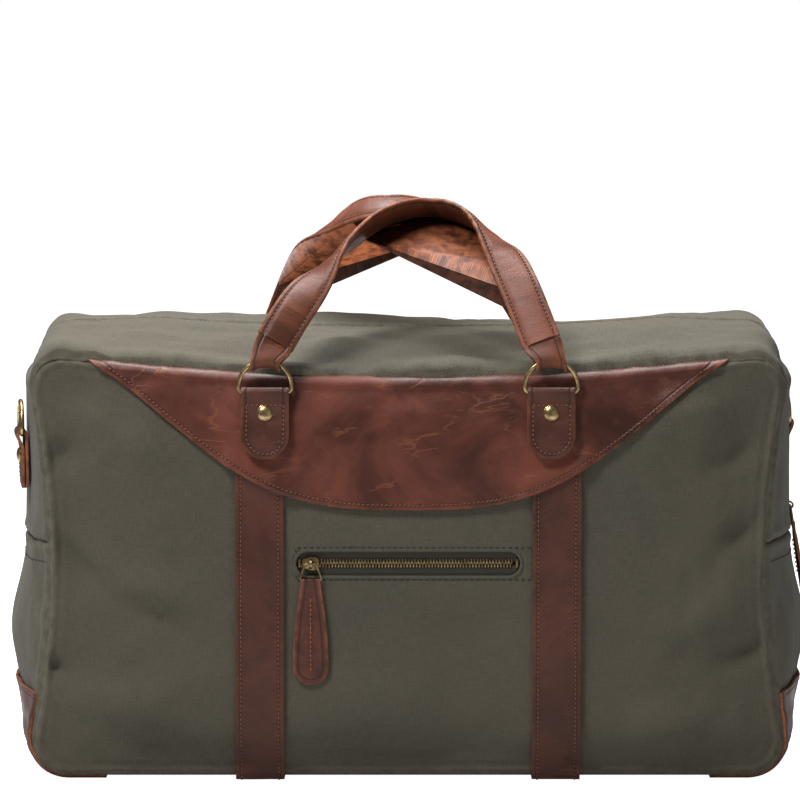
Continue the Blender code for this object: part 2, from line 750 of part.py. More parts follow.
def make_pocket_zip():
    face = panel_out(POCKET_HALF, POCKET_ZIP)
    back = -face + CANVAS + 2 * GAP
    for name, side in (("upper", 1), ("lower", -1)):
        height = TAPE_HALF_WIDTH - TOOTH_REACH - GAP
        middle = POCKET_ZIP + side * (TOOTH_REACH + GAP + height / 2)
        tape = block((2 * (POCKET_HALF + TAPE_PAST), TAPE, height), (0, back + TAPE / 2, middle))
        add_piece("pocket_zip_tape_" + name, mesh_from(tape, name), TAPE_FINISH)
        height = TOOTH_REACH - TOOTH_PART
        middle = POCKET_ZIP + side * (TOOTH_PART + height / 2)
        chain = block((2 * (POCKET_HALF - STOP_INSET) - GAP * 2, TEETH, height), (0, back, middle))
        add_piece("pocket_zip_chain_" + name, mesh_from(chain, name), ANTIQUE_FINISH)
    for name, side in (("left", -1), ("right", 1)):
        place = side * (POCKET_HALF - STOP_INSET + STOP_LENGTH / 2)
        stop = block((STOP_LENGTH, TEETH, 2 * TOOTH_REACH), (place, back, POCKET_ZIP))
        add_piece("pocket_zip_stop_" + name, mesh_from(stop, name), ANTIQUE_FINISH)
    frame = Matrix.Translation((POCKET_SLIDER, back - TEETH / 2, POCKET_ZIP))
    make_slider("pocket_zip", frame, True, POCKET_PULL)


def pull_outline(length):
    """A teardrop that hangs down -Y from the bail at the origin: a straight fold, then a round belly."""
    straight = length - PULL_BELLY
    right = []
    for step in range(7):
        share = step / 6
        right.append((mix(PULL_NECK, PULL_BELLY, sin(pi / 2 * share)), PULL_FOLD - straight * share))
    for step in range(1, 6):
        turn = pi / 2 * step / 6
        right.append((PULL_BELLY * cos(turn), PULL_FOLD - straight - PULL_BELLY * sin(turn)))
    left = [(-x, y) for x, y in reversed(right)]
    return right + [(0, PULL_FOLD - length)] + left


def make_slider(zip_name, frame, sideways, pull_length, tilt=0.0):
    """Slider, wire bail and leather pull. In the frame the teeth's outer face is at Y 0, out is -Y.

    The slider runs along Z, or along X when it is sideways; the pull hangs down in both.
    """
    inner = SLIDER_CLEAR
    outer = SLIDER_CLEAR + SLIDER_PLATE
    deep = TEETH + SLIDER_CLEAR
    spin = Matrix.Rotation(pi / 2, 4, "Y") if sideways else Matrix.Identity(4)
    body = block((SLIDER_WIDTH, SLIDER_PLATE, SLIDER_LENGTH), (0, -(inner + outer) / 2, 0), SLIDER_CORNER,
                 1)
    piece = add_piece(zip_name + "_slider", mesh_from(body, zip_name), ANTIQUE_FINISH, frame @ spin)
    back = block((SLIDER_WIDTH, SLIDER_PLATE, SLIDER_LENGTH), (0, deep + SLIDER_PLATE / 2, 0), SLIDER_CORNER,
                 1)
    combine(piece, cutter(zip_name + "_back_plate", back, frame @ spin), "UNION")
    web_depth = deep + inner + SLIDER_PLATE
    web = block((2 * SLIDER_WEB, web_depth, SLIDER_LENGTH * 0.5), (0, (deep - inner) / 2, 0))
    combine(piece, cutter(zip_name + "_web", web, frame @ spin), "UNION")
    bridge_out = outer + BRIDGE_HEIGHT
    bridge = block((BRIDGE_WIDTH, BRIDGE_HEIGHT + SLIDER_PLATE / 2, BRIDGE_LENGTH),
                   (0, -(bridge_out + outer - SLIDER_PLATE / 2) / 2, 0))
    combine(piece, cutter(zip_name + "_bridge", bridge, frame), "UNION")
    hole_out = bridge_out - BRIDGE_ROOF - BRIDGE_HOLE / 2
    hole = block((2 * BRIDGE_WIDTH, BRIDGE_HOLE, BRIDGE_HOLE), (0, -hole_out, 0))
    combine(piece, cutter(zip_name + "_hole", hole, frame), "DIFFERENCE")

    pivot = frame @ Matrix.Translation((0, -hole_out, 0)) @ Matrix.Rotation(-tilt, 4, "X")
    top, low = BAIL_TOP / 2, BAIL_WIDTH / 2
    soft = BAIL_CORNER
    corners = ((top - soft, -soft), (-top + soft, -soft),
               (-low + soft, -BAIL_DROP + soft), (low - soft, -BAIL_DROP + soft))
    points = []
    for quarter, (x, z) in enumerate(corners):
        for step in range(3):
            turn = pi / 2 * quarter + pi / 4 * step
            points.append((x + soft * cos(turn), 0, z + soft * sin(turn)))
    wire_piece(zip_name + "_bail", points, BAIL_WIRE, ANTIQUE_FINISH, pivot)

    outline_curve = flat_outline(zip_name + "_pull", [pull_outline(pull_length)], PULL_THICK)
    hang = pivot @ Matrix.Translation((0, 0, -BAIL_DROP)) @ Matrix.Rotation(pi / 2, 4, "X")
    mesh = curve_mesh(outline_curve, zip_name + "_pull")
    mesh.transform(Matrix.Translation((0, -BAIL_DROP, 0)))
    pull = add_piece(zip_name + "_pull", mesh, HANDLE_FINISH, pivot @ Matrix.Rotation(pi / 2, 4, "X"))
    tunnel = bmesh.new()
    bmesh.ops.create_cone(tunnel, cap_ends=True, segments=12, radius1=BAIL_WIRE + GAP,
                          radius2=BAIL_WIRE + GAP, depth=2 * BAIL_WIDTH,
                          matrix=Matrix.Rotation(pi / 2, 4, "Y"))
    combine(pull, cutter(zip_name + "_tunnel", tunnel, hang), "DIFFERENCE")


make_panels()
make_gussets()
make_yokes()
make_straps()
make_end_guards()
make_inside()
make_pouch()
make_fittings()
make_handles()
make_main_zip()
make_pocket_zip()
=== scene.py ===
"""Weekender bag: canvas, leather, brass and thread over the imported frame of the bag."""
from math import asin, atan, ceil, copysign, cos, exp, hypot, pi, radians, sin, sqrt

import bmesh
import bpy
from bpy.props import FloatProperty, FloatVectorProperty, IntProperty, PointerProperty
from bpy.types import Operator, Panel, PropertyGroup
from mathutils import Matrix, Vector, noise


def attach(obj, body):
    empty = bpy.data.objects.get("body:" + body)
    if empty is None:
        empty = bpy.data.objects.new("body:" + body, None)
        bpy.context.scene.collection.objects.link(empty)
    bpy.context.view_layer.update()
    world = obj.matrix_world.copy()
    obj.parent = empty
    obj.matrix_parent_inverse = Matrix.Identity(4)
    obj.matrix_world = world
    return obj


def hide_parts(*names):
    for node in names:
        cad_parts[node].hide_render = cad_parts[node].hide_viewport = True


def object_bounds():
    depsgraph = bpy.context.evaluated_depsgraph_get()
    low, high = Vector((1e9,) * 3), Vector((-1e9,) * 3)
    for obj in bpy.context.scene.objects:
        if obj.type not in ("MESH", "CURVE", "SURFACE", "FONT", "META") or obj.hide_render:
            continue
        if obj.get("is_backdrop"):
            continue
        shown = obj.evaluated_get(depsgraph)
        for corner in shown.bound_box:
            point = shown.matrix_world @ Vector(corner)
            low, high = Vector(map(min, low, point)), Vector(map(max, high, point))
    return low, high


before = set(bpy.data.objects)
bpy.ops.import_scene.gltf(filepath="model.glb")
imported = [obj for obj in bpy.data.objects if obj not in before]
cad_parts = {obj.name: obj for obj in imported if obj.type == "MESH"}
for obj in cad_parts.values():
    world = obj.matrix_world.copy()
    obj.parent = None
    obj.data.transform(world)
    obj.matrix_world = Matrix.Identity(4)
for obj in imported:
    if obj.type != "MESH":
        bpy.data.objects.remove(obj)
CAD_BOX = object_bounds()

bl_info = {
    "name": "Weekender Bag",
    "version": (1, 0, 0),
    "blender": (4, 5, 0),
    "location": "View3D > Sidebar > Weekender",
    "description": "Canvas weekender bag with leather yokes, straps, handles and brass fittings",
    "category": "Object",
}

# The bag's sizes, in metres, as the solids of the frame have them
GAP = 0.0003                    # between pieces that touch
LAY = 0.0010                    # between the canvas and the leather that lies on it

# Canvas
PANEL_HALF_WIDTH = 0.258
PANEL_WAIST = 0.016
PANEL_TOP = 0.291
PANEL_SAG = 0.018
PANEL_CORNER = 0.028
RIM = 0.100
CROWN = 0.014
CANVAS = 0.0024
GUSSET_HALF_WIDTH = 0.264
LOW_SWELL = 0.013
LOW_SWELL_HEIGHT = 0.090
LOW_SWELL_SPREAD = 0.042
TOP_SWELL = 0.024
TOP_SWELL_MIDDLE = 0.006
GUSSET_SEAM = 0.162

# Leather on the body
LEATHER = 0.0020
BASE = LEATHER + LAY
YOKE_HALF_WIDTH = 0.219
YOKE_LOW = 0.185
STRAP_PLACE = 0.100
STRAP_WIDTH = 0.0325
GUARD_TOP = 0.058
GUARD_INNER_END = 0.205

# Rings, tabs and rivets
RING_WIRE = 0.0015
RING_ARC = 0.018
RING_RISE = 0.004
TAB_WIDTH = 0.0320
TAB_CLEAR = 0.0009
TAB_CLOSE = 0.010
TAB_FOLD = 0.2                  # share of each layer's rows that goes round the ring's bar
HANDLE_TAB_PLACE = 0.096
HANDLE_TAB_LOW = 0.220
HANDLE_BAR = 0.264
HANDLE_RIVET = 0.251
SIDE_TAB_PLACE = 0.045
SIDE_TAB_LOW = 0.193
SIDE_BAR = 0.231
SIDE_RIVET = 0.216
RIVET_RADIUS = 0.0053
RIVET_HEIGHT = 0.0026

# Handles, their knots as shares: across, back and up
HANDLE_WIDTH = 0.027
HANDLE_THICK = 0.006
HANDLE_RIM = 0.70               # share of its thickness that a handle has at its rims
HANDLE_RISE = 0.086
HANDLE_LEAN_END = 0.0145
HANDLE_TOP_TILT = radians(27)
HANDLE_START = 0.003
HANDLE_SHAPE = (
    (-0.930, 0.00, 0.00),
    (-0.800, 0.09, 0.24),
    (-0.620, 0.27, 0.50),
    (-0.410, 0.52, 0.75),
    (-0.150, 0.82, 0.94),
    (0.140, 1.00, 1.00),
    (0.420, 0.84, 0.93),
    (0.640, 0.52, 0.71),
    (0.780, 0.25, 0.42),
    (0.930, 0.00, 0.00),
)

# The handles' thin ends
TONGUE = 0.0018
TONGUE_WIDTH = 0.020
TONGUE_LENGTH = 0.012
TONGUE_SLACK = 0.0032

# Zips, sliders and pulls
TAPE = 0.0008
TEETH = 0.0024
TAPE_HALF_WIDTH = 0.012
MAIN_SLOT = 0.007
MAIN_END = 0.166
MAIN_SLIDER = 0.176
POCKET_ZIP = 0.149
POCKET_HALF = 0.075
POCKET_SLOT = 0.0078
SLOT_CLEAR = 0.0012             # the canvas is cut this much wider, and its lip fills the rest
POCKET_SLIDER = -0.0655
POCKET_SEWN = (-0.0755, 0.0835) # ends of the stitching round the pocket
POCKET_SEWN_RISE = 0.0108
SLIDER_WIDTH = 0.0090
SLIDER_LENGTH = 0.0110
SLIDER_PLATE = 0.0012
SLIDER_WEB = 0.0004
SLIDER_CLEAR = 0.0006
BRIDGE_HEIGHT = 0.0052
BRIDGE_LENGTH = 0.0064
BRIDGE_HOLE = 0.0030
BRIDGE_ROOF = 0.0012
BAIL_WIRE = 0.0008
BAIL_WIDTH = 0.0142
BAIL_DROP = 0.0110
BAIL_TOP = 0.0088
PULL_NECK = 0.0058
PULL_BELLY = 0.0120
PULL_FOLD = 0.0022
MAIN_PULL_TILT = radians(8.3)
POCKET_PULL = 0.0730
MAIN_PULL = 0.0500

GUSSET_EDGE = RIM - CANVAS - GAP            # the guards end beside the panels

FOLD_FORCE = 2.3                            # the folds below are pressed this many times as deep

# Soft folds pressed into a panel: (from x, from z, to x, to z, half width, depth)
PANEL_FOLDS = (
    (-0.246, 0.168, -0.196, 0.122, 0.0085, -0.0034),
    (-0.205, 0.150, -0.122, 0.108, 0.0150, 0.0030),
    (-0.196, 0.122, -0.150, 0.104, 0.0120, -0.0022),
    (-0.250, 0.212, -0.215, 0.230, 0.0095, -0.0026),
    (-0.236, 0.246, -0.150, 0.222, 0.0170, 0.0024),
    (-0.248, 0.086, -0.228, 0.070, 0.0060, -0.0034),
    (-0.232, 0.052, -0.150, 0.060, 0.0160, 0.0026),
    (-0.210, 0.030, -0.130, 0.022, 0.0110, -0.0022),
    (0.244, 0.176, 0.206, 0.150, 0.0090, -0.0030),
    (0.236, 0.128, 0.160, 0.096, 0.0170, 0.0030),
    (0.248, 0.096, 0.205, 0.080, 0.0085, -0.0030),
    (0.244, 0.232, 0.190, 0.214, 0.0120, -0.0024),
    (0.220, 0.256, 0.160, 0.238, 0.0150, 0.0020),
    (0.205, 0.046, 0.140, 0.034, 0.0140, 0.0024),
    (-0.060, 0.060, 0.040, 0.044, 0.0220, 0.0020),
    (0.000, 0.110, 0.070, 0.086, 0.0200, -0.0014),
    (-0.070, 0.026, 0.060, 0.018, 0.0100, -0.0016),
)


# ---------------------------------------------------------------- sizes and colours
def length(name, description, default, low, high):
    return FloatProperty(name=name, description=description, default=default, min=low, max=high,
                         unit="LENGTH")


def colour(name, description, default):
    return FloatVectorProperty(name=name, description=description, default=default, subtype="COLOR", size=3,
                               min=0, max=1)


class WeekenderSizes(PropertyGroup):
    stitch_pitch: length("Leather Stitch", "Length of one stitch in the leather", 0.0031, 0.002, 0.008)
    canvas_pitch: length("Canvas Stitch", "Length of one stitch in the canvas", 0.0040, 0.002, 0.008)
    thread: length("Thread", "Thickness of the sewing thread", 0.0010, 0.0003, 0.002)
    tooth_pitch: length("Tooth Pitch", "Distance from one zip tooth to the next", 0.0021, 0.0012, 0.005)
    wrinkle: length("Wrinkles", "Depth of the soft folds in the canvas", 0.0034, 0.0, 0.006)
    ridge: length("Seam Ridge", "Height of the turned seam round the panels", 0.0018, 0.0, 0.005)
    fineness: IntProperty(name="Canvas Fineness", description="Faces across half of a canvas panel",
                          default=90, min=20, max=160)


class WeekenderColours(PropertyGroup):
    canvas: colour("Canvas", "Waxed olive canvas", (0.090, 0.080, 0.058))
    yoke: colour("Yoke Leather", "Oiled leather of the yokes", (0.100, 0.025, 0.014))
    strap: colour("Strap Leather", "Darker leather of the straps and tabs", (0.072, 0.022, 0.013))
    handle: colour("Handle Leather", "Tan leather of the handles", (0.140, 0.040, 0.019))
    raw_edge: colour("Raw Edge", "Cut edge of the leather", (0.270, 0.085, 0.034))
    brass: colour("Brass", "Brass of the rings and rivets", (0.560, 0.400, 0.190))
    antique: colour("Antique Brass", "Darkened brass of the zips", (0.330, 0.235, 0.120))
    leather_thread: colour("Leather Thread", "Thread in the leather", (0.190, 0.075, 0.042))
    canvas_thread: colour("Canvas Thread", "Thread in the canvas", (0.016, 0.013, 0.010))
    lining: colour("Lining", "Cotton lining", (0.240, 0.205, 0.150))


def sizes():
    return bpy.context.scene.weekender_sizes


def colours():
    return bpy.context.scene.weekender_colours


# ---------------------------------------------------------------- small maths
def mix(start, end, share):
    return start + (end - start) * share


def ease(share):
    share = min(1, max(0, share))
    return share * share * (3 - 2 * share)


def half_turn(point):
    """A point or direction carried to the other face of the bag."""
    return Vector((-point.x, -point.y, point.z))


def warp(share):
    """Grid lines closer together towards the edges, where the canvas turns."""
    return sin(pi / 2 * share)


def bump(value, middle, spread):
    return exp(-((value - middle) / spread) ** 2)


def wave(x, y, z, scale, seed, octaves=3):
    """Soft seeded noise about 0, its features about scale metres long."""
    return noise.fractal(Vector((x / scale + seed * 7.31, y / scale - seed * 3.17, z / scale + seed)),
                         1.0, 2.0, octaves)


# ---------------------------------------------------------------- the form of the bag
def seam_height(x):
    """Height of the top seam, which hangs in the middle."""
    return PANEL_TOP - PANEL_SAG * (1 - min(1, abs(x) / PANEL_HALF_WIDTH) ** 2)


def seam_half_width(z):
    """Half width of a panel between its side seams, which pull in at half height."""
    return PANEL_HALF_WIDTH - PANEL_WAIST * sin(pi * min(1, max(0, (z - BASE) / (PANEL_TOP - BASE))))


def rounded(p, q):
    """A place in a square of half side 1, after its corners are rounded as a panel's are."""
    ring = max(abs(p), abs(q))
    if ring == 0:
        return 0.0, 0.0
    p, q = p / ring, q / ring
    corner_p = PANEL_CORNER / PANEL_HALF_WIDTH
    corner_q = 2 * PANEL_CORNER / (PANEL_TOP - BASE)
    past_p = (abs(p) - 1) / corner_p + 1
    past_q = (abs(q) - 1) / corner_q + 1
    if past_p > 0 and past_q > 0:
        reach = sqrt(past_p ** 2 + past_q ** 2)
        p = copysign(1 - corner_p + corner_p * past_p / reach, p)
        q = copysign(1 - corner_q + corner_q * past_q / reach, q)
    return p * ring, q * ring


def panel_place(p, q):
    """Where a place in the square falls on a panel, as (x, z)."""
    p, q = rounded(p, q)
    z = BASE + (q + 1) / 2 * (seam_height(p * PANEL_HALF_WIDTH) - BASE)
    return p * seam_half_width(z), z


def panel_out(x, z):
    """How far the outer face of a panel stands from the bag's middle plane."""
    across = min(1, abs(x) / seam_half_width(z))
    middle = (seam_height(x) + BASE) / 2
    up = min(1, abs(z - middle) / (middle - BASE))
    return RIM + CROWN * (1 - across ** 4) * (1 - up ** 4)


def outline(s):
    """The panels' outline: s is 0 at the middle of the top, 2 half way down the right, 4 at the bottom."""
    s = (s + 4) % 8 - 4
    side = copysign(1, s)
    run = abs(s)
    if run <= 1:
        return panel_place(sin(pi / 2 * s), 1)
    if run <= 3:
        return panel_place(side, sin(pi / 2 * (2 - run)))
    return panel_place(side * sin(pi / 2 * (4 - run)), -1)


def outline_at_height(z):
    """The outline's s at a height on the right-hand side."""
    share = 2 * (z - BASE) / (PANEL_TOP - BASE) - 1
    return 2 - asin(share) * 2 / pi


def side_swell(z):
    low = LOW_SWELL * exp(-((z - LOW_SWELL_HEIGHT) / LOW_SWELL_SPREAD) ** 2)
    return GUSSET_HALF_WIDTH + low - seam_half_width(z)


def gusset_outward(s):
    run = (Vector(outline(s + 0.01)) - Vector(outline(s - 0.01))).normalized()
    return Vector((-run.y, 0, run.x))


def gusset_place(s, y, inset=0.0):
    """A point of the gusset, which swells between its two seams; the inset goes into the bag."""
    x, z = outline(s)
    outward = gusset_outward(s)
    top = TOP_SWELL + TOP_SWELL_MIDDLE * (1 - (x / PANEL_HALF_WIDTH) ** 2)
    swell = top * max(0, outward.z) ** 2 + side_swell(z) * outward.x ** 2
    return Vector((x, y, z)) + outward * (swell * (1 - (y / RIM) ** 2) - inset)


def side_out(y, z):
    """How far the gusset's side stands from the middle of the bag."""
    return seam_half_width(z) + side_swell(z) * (1 - (y / RIM) ** 2)


def yoke_edge(x):
    """Height of the yoke's lower edge: a shallow bowl that turns level again at its two tips."""
    share = abs(x) / YOKE_HALF_WIDTH
    rise = seam_height(YOKE_HALF_WIDTH) - YOKE_LOW
    return YOKE_LOW + rise * (2.05 * share ** 3 - 1.05 * share ** 5)


SEAM_S = outline_at_height(GUSSET_SEAM)


# ---------------------------------------------------------------- nodes
def add(tree, kind, inputs=None, **settings):
    """A node with its settings, its inputs set to a value or wired to another node's output."""
    node = tree.nodes.new("ShaderNode" + kind)
    for name, value in settings.items():
        setattr(node, name, value)
    for name, value in (inputs or {}).items():
        if isinstance(value, bpy.types.NodeSocket):
            tree.links.new(value, node.inputs[name])
        else:
            node.inputs[name].default_value = value
    return node


def maths(tree, operation, first, second=0.5, clamp=False):
    return add(tree, "Math", {0: first, 1: second}, operation=operation, use_clamp=clamp).outputs[0]


def tint(tree, factor, first, second, mode="MIX"):
    """Two colours blended by a factor."""
    node = add(tree, "Mix", data_type="RGBA", blend_type=mode, clamp_factor=True)
    for socket, value in ((node.inputs[0], factor), (node.inputs[6], first), (node.inputs[7], second)):
        if isinstance(value, bpy.types.NodeSocket):
            tree.links.new(value, socket)
        elif socket.type == "RGBA":
            socket.default_value = (*value, 1)
        else:
            socket.default_value = value
    return node.outputs[2]


def spread(tree, value, low, high, to_low=0.0, to_high=1.0):
    """A value's range moved to another, smoothly and with its ends held."""
    return add(tree, "MapRange", {"Value": value, "From Min": low, "From Max": high, "To Min": to_low,
                                  "To Max": to_high}, interpolation_type="SMOOTHSTEP").outputs[0]


def cloud(tree, place, scale, detail=3.0, roughness=0.5, distortion=0.0):
    return add(tree, "TexNoise", {"Vector": place, "Scale": scale, "Detail": detail,
                                  "Roughness": roughness, "Distortion": distortion}).outputs[0]


def stretch(tree, place, scale):
    return add(tree, "Mapping", {"Vector": place, "Scale": scale}).outputs[0]


def new_group(name, inputs, outputs):
    """A node group with named sockets: (tree, its inputs, its output node)."""
    tree = bpy.data.node_groups.new(name, "ShaderNodeTree")
    for label, kind, default in inputs:
        socket = tree.interface.new_socket(name=label, in_out="INPUT", socket_type="NodeSocket" + kind)
        if default is not None:
            socket.default_value = default
    for label, kind in outputs:
        tree.interface.new_socket(name=label, in_out="OUTPUT", socket_type="NodeSocket" + kind)
    return tree, tree.nodes.new("NodeGroupInput").outputs, tree.nodes.new("NodeGroupOutput")


def use_group(tree, name, **inputs):
    """A node group with its inputs set or wired, an underscore standing for a space: its outputs."""
    node = tree.nodes.new("ShaderNodeGroup")
    node.node_tree = bpy.data.node_groups[name]
    for label, value in inputs.items():
        label = label.replace("_", " ")
        if isinstance(value, bpy.types.NodeSocket):
            tree.links.new(value, node.inputs[label])
        else:
            node.inputs[label].default_value = value
    return node.outputs


def put_out(tree, output, **values):
    for label, value in values.items():
        tree.links.new(value, output.inputs[label.replace("_", " ")])


def make_weave_group():
    """Plain weave: threads over and under each other, some a little thicker or paler."""
    tree, inputs, output = new_group("Plain Weave",
                                     [("Place", "Vector", None), ("Threads", "Float", 1300.0)],
                                     [("Height", "Float"), ("Shade", "Float")])
    wander = cloud(tree, inputs["Place"], 90.0, 2.0)
    axes = add(tree, "SeparateXYZ", {0: inputs["Place"]}).outputs
    turns = maths(tree, "MULTIPLY", inputs["Threads"], pi)
    drift = maths(tree, "MULTIPLY", wander, 3.0)
    warp_run = maths(tree, "MULTIPLY_ADD", axes[0], turns)
    weft_run = maths(tree, "MULTIPLY_ADD", axes[1], turns)
    for run in (warp_run, weft_run):
        tree.links.new(drift, run.node.inputs[2])
    warps = maths(tree, "SINE", warp_run)
    wefts = maths(tree, "SINE", weft_run)
    over = maths(tree, "MULTIPLY", warps, wefts)
    round_threads = maths(tree, "ADD", maths(tree, "ABSOLUTE", warps), maths(tree, "ABSOLUTE", wefts))
    height = maths(tree, "MULTIPLY_ADD", over, 0.35)
    tree.links.new(maths(tree, "MULTIPLY", round_threads, 0.4), height.node.inputs[2])
    slub_x = cloud(tree, stretch(tree, inputs["Place"], (1500, 130, 900)), 1.0, 3.0)
    slub_y = cloud(tree, stretch(tree, inputs["Place"], (130, 1500, 900)), 1.0, 3.0)
    shade = maths(tree, "MULTIPLY", maths(tree, "ADD", slub_x, slub_y), 0.5)
    put_out(tree, output, Height=height, Shade=shade)


def make_leather_group():
    """Pull-up leather: fine pores, soft mottling and creases across the strap."""
    tree, inputs, output = new_group(
        "Leather Grain",
        [("Place", "Vector", None), ("Pores", "Float", 900.0), ("Mottle Size", "Float", 24.0),
         ("Crease Run", "Vector", None)],
        [("Height", "Float"), ("Mottle", "Float"), ("Creases", "Float"), ("Scratches", "Float")])
    pores = add(tree, "TexVoronoi", {"Vector": inputs["Place"], "Scale": inputs["Pores"]},
                feature="DISTANCE_TO_EDGE").outputs["Distance"]
    pores = spread(tree, pores, 0.0, 0.22)
    fine = cloud(tree, inputs["Place"], 320.0, 4.0, 0.6)
    big = cloud(tree, inputs["Place"], inputs["Mottle Size"], 6.0, 0.62, 0.6)
    creased = add(tree, "VectorMath", {0: inputs["Place"], 1: inputs["Crease Run"]},
                  operation="MULTIPLY").outputs[0]
    lines = cloud(tree, creased, 1.0, 4.0, 0.55, 0.5)
    lines = maths(tree, "ABSOLUTE", maths(tree, "SUBTRACT", lines, 0.5))
    creases = spread(tree, lines, 0.0, 0.022, 1.0, 0.0)
    gate = spread(tree, cloud(tree, inputs["Place"], 34.0, 2.0), 0.46, 0.62)
    creases = maths(tree, "MULTIPLY", creases, gate)
    slanted = add(tree, "Mapping", {"Vector": inputs["Place"], "Rotation": (0.4, 0.9, 0.7),
                                    "Scale": (18, 460, 460)}).outputs[0]
    marks = maths(tree, "ABSOLUTE", maths(tree, "SUBTRACT", cloud(tree, slanted, 1.0, 2.0), 0.5))
    marks = spread(tree, marks, 0.0, 0.012, 1.0, 0.0)
    marks = maths(tree, "MULTIPLY", marks, spread(tree, cloud(tree, inputs["Place"], 22.0, 1.0), 0.60, 0.68))
    height = maths(tree, "MULTIPLY_ADD", pores, 0.35)
    tree.links.new(maths(tree, "MULTIPLY_ADD", fine, 0.5), height.node.inputs[2])
    sunk = maths(tree, "SUBTRACT", height, maths(tree, "MULTIPLY", creases, 0.9))
    put_out(tree, output, Height=sunk, Mottle=big, Creases=creases, Scratches=marks)


def make_wear_and_highlight_group():
    """Broken wear along a piece's edge, from the distance to the edge that the mesh carries; on the canvas
    the same mask is partly a painted highlight on the seam ridge.
    """
    tree, inputs, output = new_group("Edge Wear And Highlight", [("Place", "Vector", None), ("Reach", "Float", 0.0015)],
                                     [("Wear", "Float"), ("Distance", "Float")])
    distance = add(tree, "Attribute", attribute_name="edge").outputs["Fac"]
    broken = spread(tree, cloud(tree, inputs["Place"], 140.0, 3.0), 0.36, 0.62)
    near = maths(tree, "SUBTRACT", 1.0, maths(tree, "DIVIDE", distance, inputs["Reach"]), True)
    put_out(tree, output, Wear=maths(tree, "MULTIPLY", near, broken), Distance=distance)


def make_patina_group():
    """Tarnish in the hollows of cast brass, and fine brushing."""
    tree, inputs, output = new_group("Brass Patina", [("Place", "Vector", None)],
                                     [("Tarnish", "Float"), ("Height", "Float")])
    soft = cloud(tree, inputs["Place"], 260.0, 4.0, 0.6)
    fine = cloud(tree, inputs["Place"], 1700.0, 3.0, 0.6)
    tarnish = maths(tree, "MULTIPLY", spread(tree, soft, 0.35, 0.70), maths(tree, "ADD", fine, 0.45))
    put_out(tree, output, Tarnish=tarnish, Height=fine)


def new_material(name):
    """A material: (itself, its tree, its shader, its object coordinates)."""
    material = bpy.data.materials.new(name)
    material.use_nodes = True
    tree = material.node_tree
    place = add(tree, "TexCoord").outputs["Object"]
    return material, tree, tree.nodes["Principled BSDF"], place


def own_place(tree):
    """Place on the cloth or leather as it was cut, in metres."""
    return add(tree, "UVMap", uv_map="cut").outputs[0]


def paint(tree, shader, base, roughness):
    tree.links.new(base, shader.inputs["Base Color"])
    tree.links.new(roughness, shader.inputs["Roughness"])


def set_bump(tree, shader, height, strength, distance, before=None):
    """Relief in the shader's normal, over another relief where there is one."""
    inputs = {"Height": height, "Strength": strength, "Distance": distance}
    if before is not None:
        inputs["Normal"] = before
    tree.links.new(add(tree, "Bump", inputs).outputs[0], shader.inputs["Normal"])


def scaled(colour, share):
    return tuple(min(1, channel * share) for channel in colour)


def make_canvas_material():
    material, tree, shader, place = new_material("waxed_canvas")
    colour = tuple(colours().canvas)
    cut = own_place(tree)
    weave = use_group(tree, "Plain Weave", Place=cut, Threads=1150.0)
    wear = use_group(tree, "Edge Wear And Highlight", Place=place, Reach=0.0075)
    patches = spread(tree, cloud(tree, place, 9.0, 5.0, 0.6), 0.32, 0.70)
    base = tint(tree, patches, scaled(colour, 0.80), scaled(colour, 1.08))
    threads = spread(tree, weave["Shade"], 0.36, 0.64)
    base = tint(tree, maths(tree, "MULTIPLY", threads, 0.40), base, scaled(colour, 1.7))
    # Painted shade between the threads: the colour darkens where the weave is low.
    deep = spread(tree, weave["Height"], 0.15, 0.75, 0.0, 1.0)
    base = tint(tree, maths(tree, "MULTIPLY", maths(tree, "SUBTRACT", 1.0, deep), 0.45), base,
                scaled(colour, 0.35))
    # Lighter along the seams: partly rubbed wear, partly a painted highlight on the raised seam ridge.
    seam_rub_and_highlight = maths(tree, "MULTIPLY", wear["Wear"], 0.40)
    base = tint(tree, seam_rub_and_highlight, base, scaled(colour, 1.9))
    paint(tree, shader, base, spread(tree, patches, 0.0, 1.0, 0.80, 0.95))
    shader.inputs["Specular IOR Level"].default_value = 0.25
    shader.inputs["Sheen Weight"].default_value = 0.10
    shader.inputs["Sheen Roughness"].default_value = 0.5
    soft = add(tree, "Bump", {"Height": cloud(tree, place, 130.0, 4.0, 0.6), "Strength": 0.35,
                              "Distance": 0.0012}).outputs[0]
    set_bump(tree, shader, weave["Height"], 0.55, 0.0004, soft)
    return material


